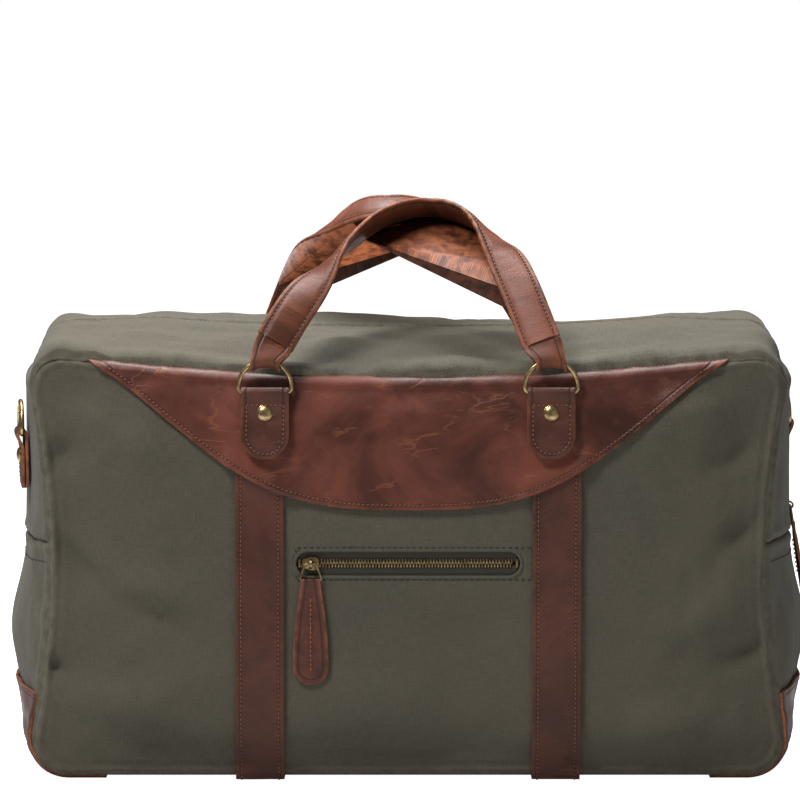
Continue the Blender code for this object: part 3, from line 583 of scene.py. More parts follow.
def make_leather_material(name, colour, rub, mottle, crease_run, pores=900.0, dark=0.45, bright=1.5,
                          creasing=0.5, rubbing=0.7, roughness=(0.36, 0.56)):
    """Oiled leather: its colour lightens where it is bent and rubbed, darkens in patches, and darkens along
    the sewing groove as painted shade.
    """
    material, tree, shader, place = new_material(name)
    cut = own_place(tree)
    grain = use_group(tree, "Leather Grain", Place=cut, Pores=pores, Mottle_Size=mottle,
                      Crease_Run=crease_run)
    wear = use_group(tree, "Edge Wear And Highlight", Place=place, Reach=0.0022)
    patch = spread(tree, grain["Mottle"], 0.30, 0.72)
    base = tint(tree, patch, scaled(colour, dark), scaled(colour, bright))
    blotch = spread(tree, cloud(tree, cut, mottle * 3.1, 4.0, 0.6), 0.50, 0.80, 0.0, 0.35)
    base = tint(tree, blotch, base, scaled(colour, dark * 0.9))
    base = tint(tree, maths(tree, "MULTIPLY", grain["Creases"], creasing), base, rub)
    base = tint(tree, maths(tree, "MULTIPLY", grain["Scratches"], 0.35), base, scaled(rub, 1.2))
    base = tint(tree, maths(tree, "MULTIPLY", wear["Wear"], rubbing), base, rub)
    # Painted shade: the colour darkens along the sewing groove, 3.5 mm in from the edge, for the shade in the
    # pressed line and its stitch holes.
    shaded_groove = bump_ring(tree, wear["Distance"], 0.0035, 0.0011)
    base = tint(tree, maths(tree, "MULTIPLY", shaded_groove, 0.60), base, scaled(colour, 0.30))
    paint(tree, shader, base, spread(tree, grain["Mottle"], 0.3, 0.7, *roughness))
    shader.inputs["Specular IOR Level"].default_value = 0.32
    rolled = maths(tree, "MULTIPLY", shaded_groove, -1.0)
    press = add(tree, "Bump", {"Height": rolled, "Strength": 0.6, "Distance": 0.0007}).outputs[0]
    set_bump(tree, shader, grain["Height"], 0.42, 0.00035, press)
    return material


def bump_ring(tree, distance, middle, half):
    """1 on the line at a distance from the edge, falling to 0 on both sides."""
    off = maths(tree, "ABSOLUTE", maths(tree, "SUBTRACT", distance, middle))
    return spread(tree, off, 0.0, half, 1.0, 0.0)


def make_raw_edge_material():
    material, tree, shader, place = new_material("raw_leather_edge")
    colour = tuple(colours().raw_edge)
    layers = cloud(tree, stretch(tree, place, (300, 300, 300)), 1.0, 4.0, 0.65)
    base = tint(tree, spread(tree, layers, 0.3, 0.7), scaled(colour, 0.5), scaled(colour, 1.25))
    paint(tree, shader, base, spread(tree, layers, 0.3, 0.7, 0.6, 0.8))
    set_bump(tree, shader, layers, 0.5, 0.0003)
    return material


def make_thread_material(name, colour):
    material, tree, shader, place = new_material(name)
    twist = add(tree, "TexWave", {"Vector": place, "Scale": 900.0, "Distortion": 3.0,
                                  "Detail": 2.0}).outputs[1]
    base = tint(tree, twist, scaled(colour, 0.6), scaled(colour, 1.4))
    paint(tree, shader, base, spread(tree, twist, 0.0, 1.0, 0.55, 0.8))
    set_bump(tree, shader, twist, 0.4, 0.0002)
    return material


def make_brass_material(name, colour, dull, roughness):
    material, tree, shader, place = new_material(name)
    patina = use_group(tree, "Brass Patina", Place=place)
    base = tint(tree, maths(tree, "MULTIPLY", patina["Tarnish"], dull), colour, scaled(colour, 0.28))
    paint(tree, shader, base, spread(tree, patina["Tarnish"], 0.0, 1.0, *roughness))
    shader.inputs["Metallic"].default_value = 1.0
    set_bump(tree, shader, patina["Height"], 0.15, 0.0001)
    return material


def make_cloth_material(name, colour, threads, roughness):
    """Plain woven cloth on a piece that carries no cut of its own."""
    material, tree, shader, place = new_material(name)
    axes = add(tree, "SeparateXYZ", {0: place}).outputs
    flat = add(tree, "CombineXYZ", {0: maths(tree, "ADD", axes[0], axes[1]),
                                    1: maths(tree, "ADD", axes[2], maths(tree, "MULTIPLY", axes[1], 0.5))})
    weave = use_group(tree, "Plain Weave", Place=flat.outputs[0], Threads=threads)
    patches = spread(tree, cloud(tree, place, 16.0, 4.0), 0.3, 0.7)
    base = tint(tree, patches, scaled(colour, 0.8), scaled(colour, 1.1))
    base = tint(tree, maths(tree, "MULTIPLY", weave["Shade"], 0.5), base, scaled(colour, 1.5))
    paint(tree, shader, base, spread(tree, patches, 0.0, 1.0, roughness - 0.06, roughness + 0.04))
    set_bump(tree, shader, weave["Height"], 0.5, 0.0003)
    return material


def make_board_material():
    material, tree, shader, place = new_material("stiff_board")
    fibres = cloud(tree, stretch(tree, place, (60, 900, 900)), 1.0, 4.0)
    base = tint(tree, fibres, (0.020, 0.018, 0.016), (0.060, 0.055, 0.048))
    paint(tree, shader, base, spread(tree, fibres, 0.3, 0.7, 0.7, 0.9))
    set_bump(tree, shader, fibres, 0.3, 0.0004)
    return material


MATERIALS = {}


def make_materials():
    make_weave_group()
    make_leather_group()
    make_wear_and_highlight_group()
    make_patina_group()
    palette = colours()
    raw = tuple(palette.raw_edge)
    MATERIALS["canvas"] = make_canvas_material()
    MATERIALS["yoke"] = make_leather_material("yoke_leather", tuple(palette.yoke), scaled(raw, 0.8), 15.0,
                                              (14, 38, 60), dark=0.40, bright=1.60, creasing=0.45,
                                              rubbing=0.5)
    MATERIALS["strap"] = make_leather_material("strap_leather", tuple(palette.strap), scaled(raw, 0.45),
                                               22.0, (45, 230, 60), dark=0.62, bright=1.40, creasing=0.7,
                                               rubbing=0.5)
    MATERIALS["tab"] = make_leather_material("tab_leather", tuple(palette.strap), scaled(raw, 0.6), 42.0,
                                             (60, 90, 90), dark=0.65, bright=1.4, creasing=0.25,
                                             rubbing=0.6)
    MATERIALS["handle"] = make_leather_material("handle_leather", tuple(palette.handle), scaled(raw, 1.05),
                                                24.0, (30, 190, 45), dark=0.48, bright=1.30, creasing=0.45,
                                                rubbing=0.9)
    MATERIALS["pull"] = make_leather_material("pull_leather", scaled(tuple(palette.strap), 1.1), raw, 60.0,
                                              (90, 90, 90), dark=0.6, bright=1.4, creasing=0.3)
    MATERIALS["raw"] = make_raw_edge_material()
    MATERIALS["leather_thread"] = make_thread_material("leather_thread", tuple(palette.leather_thread))
    MATERIALS["bright_thread"] = make_thread_material("bright_thread", scaled(raw, 1.1))
    MATERIALS["canvas_thread"] = make_thread_material("canvas_thread", tuple(palette.canvas_thread))
    MATERIALS["brass"] = make_brass_material("bright_brass", tuple(palette.brass), 0.75, (0.22, 0.42))
    MATERIALS["antique"] = make_brass_material("antique_brass", tuple(palette.antique), 0.9, (0.30, 0.50))
    MATERIALS["tape"] = make_cloth_material("zip_tape", scaled(tuple(palette.canvas), 0.45), 1500.0, 0.86)
    MATERIALS["lining"] = make_cloth_material("lining_cloth", tuple(palette.lining), 1700.0, 0.88)
    MATERIALS["board"] = make_board_material()


# ---------------------------------------------------------------- makers
def finish_piece(name, shape, body, materials, replaces=(), sharp=40):
    """The finished mesh as a piece that rides on a body and takes the place of some plain ones."""
    mesh = bpy.data.meshes.new(name)
    shape.to_mesh(mesh)
    shape.free()
    mesh.shade_smooth()
    mesh.set_sharp_from_angle(angle=radians(sharp))
    for material in materials:
        mesh.materials.append(MATERIALS[material])
    piece = bpy.data.objects.new(name, mesh)
    bpy.context.scene.collection.objects.link(piece)
    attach(piece, body)
    if replaces:
        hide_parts(*replaces)
    return piece


def laid_grid(columns, rows, lay, cut, edge):
    """A grid laid by lay(u, v), with its cut as a UV map in metres and its distance to the edge."""
    shape = bmesh.new()
    bmesh.ops.create_grid(shape, x_segments=columns, y_segments=rows, size=1)
    flat = shape.loops.layers.uv.new("cut")
    rim = shape.verts.layers.float.new("edge")
    for corner in shape.verts:
        u, v = corner.co.x, corner.co.y
        place = cut(u, v)
        for loop in corner.link_loops:
            loop[flat].uv = place
        corner[rim] = edge(u, v)
        corner.co = lay(u, v)
    return shape


def thicken(piece, thickness, side, rim_material=0, soft=0.0):
    """Give a laid face its thickness, with its rim in another of its materials and softened."""
    solid = piece.modifiers.new("thickness", "SOLIDIFY")
    solid.thickness = thickness
    solid.offset = side
    solid.material_offset_rim = rim_material
    if soft:
        bevel = piece.modifiers.new("soft edge", "BEVEL")
        bevel.width = soft
        bevel.segments = 2
        bevel.limit_method = "ANGLE"
        bevel.angle_limit = radians(55)


def thicken_leather(piece):
    """A full layer of leather outside the laid face, with a raw edge a little softened."""
    thicken(piece, LEATHER, 1, 1, 0.00035)


def gather(shape, part):
    """Add a finished part to the shape."""
    keep = bpy.data.meshes.new("part")
    part.to_mesh(keep)
    part.free()
    shape.from_mesh(keep)
    bpy.data.meshes.remove(keep)


def tube(shape, points, radius, sides=10, closed=True):
    """A round wire through the points, added to the shape."""
    count = len(points)
    made = bmesh.new()
    bmesh.ops.create_grid(made, x_segments=sides, y_segments=count if closed else count - 1, size=1)
    steps = count if closed else count - 1
    centre = sum(points, Vector()) / count
    flat = (points[0] - centre).cross(points[count // 3] - centre)
    flat = flat.normalized() if flat.length > 1e-9 else Vector((0, 0, 1))
    for corner in made.verts:
        turn = pi * corner.co.x
        step = round((corner.co.y + 1) / 2 * steps)
        here = points[step % count]
        before = points[(step - 1) % count] if closed or step else here
        after = points[(step + 1) % count] if closed or step < count - 1 else here
        run = (after - before).normalized()
        across = run.cross(flat).normalized()
        corner.co = here + (across * cos(turn) + flat * sin(turn)) * radius
    bmesh.ops.remove_doubles(made, verts=made.verts, dist=1e-7)
    if not closed:
        bmesh.ops.holes_fill(made, edges=made.edges)
    bmesh.ops.recalc_face_normals(made, faces=made.faces)
    gather(shape, made)


def rounded_block(shape, size, centre, round_edges, turn=None, segments=2):
    """A block with every edge rounded, added to the shape."""
    made = bmesh.new()
    place = Matrix.Translation(centre) @ (turn or Matrix.Identity(4)) @ Matrix.Diagonal((*size, 1))
    bmesh.ops.create_cube(made, size=1, matrix=place)
    bmesh.ops.bevel(made, geom=made.edges[:], offset=round_edges, segments=segments, profile=0.5,
                    affect="EDGES", material=-1)
    gather(shape, made)


def sew(shape, path, pitch, thread, fill=0.74):
    """Stitches along a path of (point, normal), each a short slanted grain of thread, half sunk."""
    run = 0.0
    reach = pitch / 2
    batch = bmesh.new()
    for (start, normal), (end, _) in zip(path, path[1:]):
        length = (end - start).length
        if length < 1e-7:
            continue
        along = (end - start) / length
        while run + length >= reach:
            middle = start + along * (reach - run)
            side = normal.cross(along).normalized()
            slant = (along + side * 0.16).normalized()
            side = normal.cross(slant).normalized()
            turn = Matrix((slant, side, normal)).transposed().to_4x4()
            size = Matrix.Diagonal((pitch * fill / 2, thread / 2, thread * 0.42, 1))
            bmesh.ops.create_uvsphere(batch, u_segments=6, v_segments=4, radius=1,
                                      matrix=Matrix.Translation(middle) @ turn @ size)
            reach += pitch
            if len(batch.verts) > 500:
                gather(shape, batch)
                batch = bmesh.new()
        run += length
    gather(shape, batch)


def sewn_piece(name, paths, pitch, body, material, fill=0.74):
    """Rows of stitches as a piece of their own."""
    shape = bmesh.new()
    for path in paths:
        sew(shape, path, pitch, sizes().thread, fill)
    return finish_piece(name, shape, body, [material], sharp=180)


def half_turned(lay):
    """The same surface on the other face of the bag."""
    return lambda u, v: half_turn(lay(u, v))


# ---------------------------------------------------------------- canvas
def seam_profile(distance, ridge):
    """Relief beside a turned seam: tucked in at the seam, then a ridge over the turned allowance."""
    tuck = -0.0022 * (1 - ease(distance / 0.0022))
    fold = ridge * bump(distance, 0.0040, 0.0026)
    allowance = 0.35 * ridge * bump(distance, 0.0105, 0.0030)
    return tuck + fold + allowance


def panel_edge(x, z):
    """Distance of a place on a panel from its seam."""
    side = seam_half_width(z) - abs(x)
    up = seam_height(x) - z
    down = z - BASE
    near = min(side, up, down)
    corner_x = PANEL_CORNER - side
    corner_z = PANEL_CORNER - min(up, down)
    if corner_x > 0 and corner_z > 0:
        near = PANEL_CORNER - hypot(corner_x, corner_z)
    return max(0.0, near)


def calm_panel(x, z):
    """0 where a tab or the pocket zip holds the canvas flat, 1 away from them."""
    tab = hypot(max(0, abs(abs(x) - HANDLE_TAB_PLACE) - 0.018), max(0, 0.218 - z))
    pocket = hypot(max(0, abs(x) - POCKET_HALF - 0.004), max(0, abs(z - POCKET_ZIP) - 0.010))
    return ease((min(tab, pocket) - 0.002) / 0.030)


def pressed_folds(x, z, mirror):
    """Sum of the panel's folds at a place; each one fades towards its two ends."""
    total = 0.0
    for x1, z1, x2, z2, half, depth in PANEL_FOLDS:
        x1, x2 = mirror * x1, mirror * x2
        run_x, run_z = x2 - x1, z2 - z1
        length = hypot(run_x, run_z)
        along = ((x - x1) * run_x + (z - z1) * run_z) / length ** 2
        if not -0.5 < along < 1.5:
            continue
        away = ((x - x1) * run_z - (z - z1) * run_x) / length
        away += 0.006 * wave(x, 0, z, 0.050, 51, 1)
        total += FOLD_FORCE * depth * bump(away, 0, half) * bump(along, 0.45, 0.42)
    return total


def panel_relief(x, z, seed):
    """Soft folds of a panel and the puckers that run in from its seam."""
    depth = sizes().wrinkle
    near = panel_edge(x, z)
    hold = ease(near / 0.030)
    broad = wave(x, 0, z, 0.16, seed, 2) * 1.2
    folds = wave(x + z * 0.5, 0, z - x * 0.3, 0.055, seed + 3, 3) * 0.42
    slack = bump(z, 0.030, 0.030) * (0.9 + 1.6 * wave(x, 0, 0, 0.075, seed + 5, 1))
    pulls = bump(abs(x), 0.185, 0.045) * wave(x * 0.45 + z, 0, z * 0.4 - x, 0.030, seed + 9, 2) * 0.55
    puckers = 0.34 * wave(x, 0, z, 0.014, seed + 7, 2) * exp(-near / 0.014)
    pressed = pressed_folds(x, z, 1 if seed < 20 else -1) * ease(near / 0.008)
    return calm_panel(x, z) * (depth * ((broad + folds + slack + pulls) * hold + puckers) + pressed)


def canvas_out(x, z, seed=1):
    """How far the canvas of a panel stands from the middle of the bag, without its seam."""
    return panel_out(x, z) + panel_relief(x, z, seed)


def lay_front_canvas(seed):
    def lay(u, v):
        x, z = panel_place(warp(u), warp(v))
        near = panel_edge(x, z)
        out = canvas_out(x, z, seed) + seam_profile(near, sizes().ridge)
        return Vector((x, -out, z))
    return lay


def panel_cut(u, v):
    return panel_place(warp(u), warp(v))


def canvas_piece(name, shape, node):
    """A laid canvas face as a sheet of canvas in the place of a plain one."""
    piece = finish_piece(name, shape, "bag", ["canvas"], [node], 180)
    thicken(piece, CANVAS, -1)
    return piece


def make_panel(name, seed, node, back=False):
    """The front or back panel, its grid closer towards the seam."""
    columns = sizes().fineness * 2
    lay = lay_front_canvas(seed)
    shape = laid_grid(columns, int(columns * 0.58), half_turned(lay) if back else lay, panel_cut,
                      lambda u, v: panel_edge(*panel_cut(u, v)))
    return canvas_piece(name, shape, node)


def slot_outline(half_length, half_height, segments=10):
    """A long opening with round ends, as points in X and Z round its middle."""
    points = []
    for side in (1, -1):
        for step in range(segments + 1):
            turn = side * pi / 2 - pi * step / segments
            points.append(Vector((side * (half_length - half_height) + half_height * cos(turn), 0,
                                  half_height * sin(turn))))
    return points


def cut_pocket_slot(panel):
    """Cut the pocket's opening through the front panel."""
    shape = bmesh.new()
    ring = [shape.verts.new(point + Vector((0, -RIM - 4 * CROWN, POCKET_ZIP)))
            for point in slot_outline(POCKET_HALF + SLOT_CLEAR, POCKET_SLOT + SLOT_CLEAR)]
    face = shape.faces.new(ring)
    grown = bmesh.ops.extrude_face_region(shape, geom=[face])["geom"]
    bmesh.ops.translate(shape, vec=(0, 8 * CROWN, 0),
                        verts=[item for item in grown if isinstance(item, bmesh.types.BMVert)])
    bmesh.ops.recalc_face_normals(shape, faces=shape.faces)
    mesh = bpy.data.meshes.new("slot_cutter")
    shape.to_mesh(mesh)
    shape.free()
    cutter = bpy.data.objects.new("slot_cutter", mesh)
    bpy.context.scene.collection.objects.link(cutter)
    cut = panel.modifiers.new("slot", "BOOLEAN")
    cut.operation = "DIFFERENCE"
    cut.solver = "EXACT"
    cut.object = cutter
    bpy.context.view_layer.update()
    made = bpy.data.meshes.new_from_object(panel.evaluated_get(bpy.context.evaluated_depsgraph_get()))
    panel.modifiers.clear()
    panel.data = made
    bpy.data.objects.remove(cutter)


def top_share(s):
    """1 where the gusset is the top of the bag, 0 on its sides."""
    return max(0.0, gusset_outward(s).z) ** 2


def gusset_relief(s, y, seed):
    """Soft folds of the gusset: they lie along the top beside the seam and slant down the sides."""
    depth = sizes().wrinkle
    near = RIM - abs(y)
    point = gusset_place(s, y)
    top = top_share(s)
    hold = ease(near / 0.022)
    broad = wave(point.x, point.y, point.z, 0.105, seed, 2) * 1.25
    along = wave(point.x * 0.38, point.y * 1.5, point.z * 0.8, 0.036, seed + 2, 3) * (0.65 + 0.75 * top)
    puckers = 0.42 * wave(point.x, point.y * 0.25, point.z, 0.015, seed + 4, 2) * exp(-near / 0.020)
    return depth * calm_gusset(point, s, y) * ((broad + along) * hold + puckers * (1 + 1.2 * top))


def calm_gusset(point, s, y):
    """0 beside the main zip, under the bag and where a side tab or the main pull lies on the canvas."""
    beside_zip = ease((abs(y) - 0.008) / 0.030)
    under = 1 - ease(-gusset_outward(s).z * 2)
    tab = hypot(max(0, abs(abs(y) - SIDE_TAB_PLACE) - 0.016), max(0, abs(point.z - 0.222) - 0.030))
    if abs(point.x) < GUSSET_HALF_WIDTH - 0.030:
        tab = 1.0
    return beside_zip * under * ease((tab - 0.002) / 0.022)


TOP_DIP = 0.0034                            # the top hangs this far in the middle, along the zip
CORNER_DIP = 0.0085                         # and is this much flatter where it turns down


def dips(x, s):
    """How far the top hangs at its middle, and how far at its turned corners."""
    middle = TOP_DIP * top_share(s) * max(0, 1 - (x / 0.225) ** 4)
    corner = CORNER_DIP * ease((abs(x) - 0.165) / 0.075) * ease(gusset_outward(s).z * 1.6)
    return middle, corner


def zip_dip(s):
    """How far the main zip hangs below the crown of the top."""
    return sum(dips(gusset_place(s, 0).x, s))


def gusset_skin(s, y, seed=11, seam=True, behind=False):
    """The outer face of the gusset; along the top it rolls forward over the seam."""
    near = RIM - abs(y)
    point = gusset_place(s, y)
    outward = gusset_outward(s)
    rise = gusset_relief(s, y, seed)
    top = top_share(s)
    middle, corner = dips(point.x, s)
    rise -= middle * bump(y, 0, 0.024) + corner * (1 - (y / RIM) ** 2)
    if behind:
        rise += 0.0052 * top * bump(abs(y), 0.046, 0.030) * (1 + 0.9 * wave(point.x, 0, 0, 0.16, 17, 1))
    if seam:
        rise += seam_profile(near, sizes().ridge * 0.8) * (1 - 0.7 * ease(-outward.z * 2))
    soft = 1 + 0.6 * wave(point.x, 0, 0, 0.05, seed + 6, 2)
    roll = 0.0060 * top * bump(near, 0.0085, 0.0070) * soft
    rise += 0.0030 * top * bump(near, 0.0110, 0.0080) * soft
    return point + outward * rise + Vector((0, copysign(roll, y), 0))


OUTLINE_UNIT = 0.205                        # metres of outline to one unit of s, close enough for a cut


def run_to(s):
    """Length along the outline from the top's middle."""
    return s * OUTLINE_UNIT


ZIP_EDGE = MAIN_SLOT - 0.0030               # the canvas folds stand this far from the zip's middle
ZIP_LAP = 0.004                             # the zip gusset laps the base gusset by this much of s
ZIP_STITCH = 0.0045                         # from the fold beside the zip to its stitching


def zip_side_y(v):
    """Rows close together at the seam and at the folded edge."""
    share = (v + 1) / 2
    share = mix(share, (1 - cos(pi * share)) / 2, 0.8)
    return mix(-RIM, -ZIP_EDGE, share)


def lay_zip_gusset(u, v, behind=False):
    s = (SEAM_S + ZIP_LAP) * u
    y = zip_side_y(v)
    point = gusset_skin(s, y, behind=behind)
    outward = gusset_outward(s)
    beside = -y - ZIP_EDGE
    fold = 0.0013 * bump(beside, 0.0042, 0.0030) - 0.0020 * (1 - ease(beside / 0.0024))
    end = run_to((1 - abs(u)) * (SEAM_S + ZIP_LAP))
    lap = 0.0010 * bump(end, 0.004, 0.003) - 0.0018 * (1 - ease(end / 0.0020))
    return point + outward * (fold + lap)


BASE_START = SEAM_S + 0.002


def lay_base_gusset(u, v):
    s = mix(BASE_START, 8 - BASE_START, (u + 1) / 2)
    y = RIM * warp(v)
    end = run_to((1 - abs(u)) / 2 * (8 - 2 * BASE_START))
    lap = 0.0012 * bump(end, 0.0035, 0.0030) - 0.0016 * (1 - ease(end / 0.0016))
    return gusset_skin(s, y) + gusset_outward(s) * lap


def make_canvas():
    front = make_panel("front_canvas", 1, "front_panel")
    cut_pocket_slot(front)
    back = make_panel("back_canvas", 21, "back_panel", True)
    fine = sizes().fineness

    def zip_cut(u, v):
        return run_to(SEAM_S * u), zip_side_y(v)

    def zip_edge(u, v):
        return min(RIM + zip_side_y(v), -zip_side_y(v) - ZIP_EDGE, run_to((1 - abs(u)) * SEAM_S))

    for name, node, lay in (("zip_canvas_front", "zip_gusset_front", lay_zip_gusset),
                            ("zip_canvas_back", "zip_gusset_back",
                             half_turned(lambda u, v: lay_zip_gusset(u, v, True)))):
        shape = laid_grid(int(fine * 3.2), int(fine * 0.4), lay, zip_cut, zip_edge)
        canvas_piece(name, shape, node)

    def base_cut(u, v):
        return run_to((u + 1) / 2 * (8 - 2 * BASE_START)), RIM * warp(v)

    def base_edge(u, v):
        return min(RIM * (1 - abs(warp(v))), run_to((1 - abs(u)) / 2 * (8 - 2 * BASE_START)))

    shape = laid_grid(int(fine * 3.4), int(fine * 0.7), lay_base_gusset, base_cut, base_edge)
    base = canvas_piece("base_canvas", shape, "base_gusset")


def seam_row(place):
    """A row of stitching across the side of the bag, below the zip gusset's end."""
    normal = gusset_outward(place)
    row = []
    for step in range(81):
        y = mix(-RIM + 0.005, RIM - 0.005, step / 80)
        row.append((gusset_skin(place, y) + normal * 0.0001, normal))
    return row


def sew_canvas():
    rows = []
    for start, down in ((BASE_START, 1), (8 - BASE_START, -1)):
        for drop in (0.0060, 0.0125):
            rows.append(seam_row(start + down * drop / OUTLINE_UNIT))
    beside_zip = []
    for step in range(241):
        s = mix(-SEAM_S, SEAM_S, step / 240)
        normal = gusset_outward(s)
        beside_zip.append((gusset_skin(s, -ZIP_EDGE - ZIP_STITCH) + normal * 0.0009, normal))
    rows += [beside_zip, [(half_turn(point), half_turn(normal)) for point, normal in beside_zip]]
    sewn_piece("canvas_stitching", rows, sizes().canvas_pitch, "bag", "canvas_thread")


# ---------------------------------------------------------------- leather on the body
STITCH_INSET = 0.0036


def yoke_slope(x):
    return (yoke_edge(x + 0.001) - yoke_edge(x - 0.001)) / 0.002


def yoke_out(x, z, seed=1):
    """Underside of the yoke: it lies on the canvas, rides over the straps' ends and into the seam."""
    under = ease((STRAP_WIDTH / 2 + 0.012 - abs(abs(x) - STRAP_PLACE)) / 0.009)
    lap = 0.0021 * under * (1 - ease((z - yoke_edge(x) - 0.004) / 0.014))
    near = seam_height(x) - z
    ridge = 0.0016 * bump(near, 0.0045, 0.0028) - 0.0024 * (1 - ease(near / 0.0024))
    soft = 0.0006 * wave(x, 0, z, 0.030, seed + 2, 2) * ease(near / 0.02)
    return canvas_out(x, z, seed) + LAY + lap + ridge + abs(soft)


def yoke_place(u, v):
    x = u * YOKE_HALF_WIDTH * 0.985
    return x, mix(yoke_edge(x), seam_height(x) - GAP, (v + 1) / 2)


def make_yokes():
    def edge(u, v):
        x, z = yoke_place(u, v)
        return max(0.0, (z - yoke_edge(x)) / sqrt(1 + yoke_slope(x) ** 2))

    for name, node, seed, back in (("yoke_front", "front_yoke", 1, False),
                                   ("yoke_back", "back_yoke", 21, True)):
        def lay(u, v):
            x, z = yoke_place(u, v)
            return Vector((x, -yoke_out(x, z, seed), z))

        shape = laid_grid(170, 44, half_turned(lay) if back else lay, yoke_place, edge)
        piece = finish_piece(name, shape, "bag", ["yoke", "raw"], [node], 180)
        thicken_leather(piece)

        row = []
        for step in range(361):
            x = mix(-0.972, 0.972, step / 360) * YOKE_HALF_WIDTH
            slope = yoke_slope(x)
            level = sqrt(1 + slope ** 2)
            place_x = x - slope / level * STITCH_INSET
            place_z = yoke_edge(x) + STITCH_INSET / level
            if place_z > seam_height(place_x) - 0.003:
                continue
            point = Vector((place_x, -yoke_out(place_x, place_z, seed) - LEATHER - 0.0001, place_z))
            normal = Vector((0, -1, 0))
            if back:
                point, normal = half_turn(point), half_turn(normal)
            row.append((point, normal))
        sewn_piece(name + "_stitching", [row], sizes().stitch_pitch, "bag",
                   "leather_thread")


STRAP_FLAT = 0.25                           # share of each half of a strap that lies under the base


def strap_skin(x, v, lift=0.0):
    """Underside of a strap, from under the front yoke, round the base, to under the back yoke."""
    side = copysign(1, -v)
    run = abs(v)
    seed = 1 if side < 0 else 21
    look = x if side < 0 else -x
    if run <= STRAP_FLAT:
        return Vector((x, side * (RIM + LAY + lift) * run / STRAP_FLAT, BASE - LAY - lift))
    climb = 1 - cos(pi / 2 * (run - STRAP_FLAT) / (1 - STRAP_FLAT))
    z = mix(BASE - LAY, yoke_edge(x) + 0.006, climb)
    here = max(z, BASE)
    ridge = sizes().ridge * 0.9 * bump(here - BASE, 0.0040, 0.0036)
    soft = 0.0003 * abs(wave(look, 0, z, 0.018, seed + 13, 2)) * ease((here - BASE) / 0.02)
    out = canvas_out(look, here, seed) + LAY + ridge + soft + lift
    return Vector((x, side * out, z - lift * (1 - ease((z - BASE) / 0.004))))


def strap_length(v):
    return copysign(abs(v) * 0.29, v)


def make_straps():
    for name, node, middle in (("strap_left_leather", "strap_left", -STRAP_PLACE),
                               ("strap_right_leather", "strap_right", STRAP_PLACE)):
        def lay(u, v):
            return strap_skin(middle + u * STRAP_WIDTH / 2, v)

        def cut(u, v):
            return u * STRAP_WIDTH / 2 + middle, strap_length(v)

        def edge(u, v):
            return (1 - abs(u)) * STRAP_WIDTH / 2

        shape = laid_grid(14, 220, lay, cut, edge)
        piece = finish_piece(name, shape, "bag", ["strap", "raw"], [node], 180)
        thicken_leather(piece)
        rows = []
        for side in (-1, 1):
            x = middle + side * (STRAP_WIDTH / 2 - STITCH_INSET)
            row = []
            for step in range(701):
                v = mix(-0.985, 0.985, step / 700)
                point = strap_skin(x, v, LEATHER + 0.0001)
                along = strap_skin(x, v + 0.002, LEATHER) - strap_skin(x, v - 0.002, LEATHER)
                normal = Vector((1, 0, 0)).cross(along).normalized()
                row.append((point, normal))
            rows.append(row)
        sewn_piece(name + "_stitching", rows, sizes().stitch_pitch, "bag",
                   "leather_thread")


GUARD_START = outline_at_height(GUARD_TOP)
GUARD_END = 4 - asin(GUARD_INNER_END / PANEL_HALF_WIDTH) * 2 / pi


def guard_skin(s, y, lift):
    """Underside of an end guard, over the gusset; the lift goes outward."""
    near = RIM - abs(y)
    ridge = sizes().ridge * 0.8 * bump(near, 0.0040, 0.0034)
    tuck = 0.0014 * (1 - ease((near - 0.0026) / 0.0016))
    soft = 0.0005 * abs(wave(s * 0.2, y, 0, 0.020, 5, 2))
    low = ease(-gusset_outward(s).z * 2)
    out = (ridge + soft) * (1 - low) + LAY * (1 - 0.2 * low) + lift - tuck
    return gusset_skin(s, y, seam=False) + gusset_outward(s) * out


def make_end_guards():
    def place(u, v):
        return mix(GUARD_START, GUARD_END, (u + 1) / 2), GUSSET_EDGE * v

    def lay(u, v):
        return guard_skin(*place(u, v), 0.0)

    def cut(u, v):
        s, y = place(u, v)
        return run_to(s), y

    def edge(u, v):
        return run_to((u + 1) / 2 * (GUARD_END - GUARD_START))

    for name, node, turned in (("end_guard_right_leather", "end_guard_right", False),
                               ("end_guard_left_leather", "end_guard_left", True)):
        shape = laid_grid(70, 60, half_turned(lay) if turned else lay, cut, edge)
        piece = finish_piece(name, shape, "bag", ["strap", "raw"], [node], 180)
        thicken_leather(piece)
        row = []
        s = GUARD_START + STITCH_INSET / OUTLINE_UNIT
        for step in range(161):
            y = mix(-0.96, 0.96, step / 160) * GUSSET_EDGE
            point = guard_skin(s, y, LEATHER + 0.0001)
            normal = gusset_outward(s)
            if turned:
                point, normal = half_turn(point), half_turn(normal)
            row.append((point, normal))
        sewn_piece(name + "_stitching", [row], sizes().stitch_pitch, "bag",
                   "leather_thread")


# ---------------------------------------------------------------- rings, tabs and rivets
def ring_points():
    """The D-ring's middle line in its own frame, its corners rounded."""
    start = asin(RING_RISE / RING_ARC)
    points = []
    for step in range(41):
        turn = mix(-start, pi + start, step / 40)
        points.append(Vector((RING_ARC * cos(turn), 0, RING_RISE + RING_ARC * sin(turn))))
    bar = RING_ARC * cos(start)
    for step in range(1, 16):
        points.append(Vector((mix(-bar, bar, step / 16), 0, 0)))
    for _ in range(5):
        points = [(points[k - 1] + 2 * points[k] + points[(k + 1) % len(points)]) / 4
                  for k in range(len(points))]
    return points


def fitting_frame(turn, middle, surface, bar):
    return Matrix.Rotation(turn, 4, "Z") @ Matrix.Translation((middle, -surface(bar), 0))


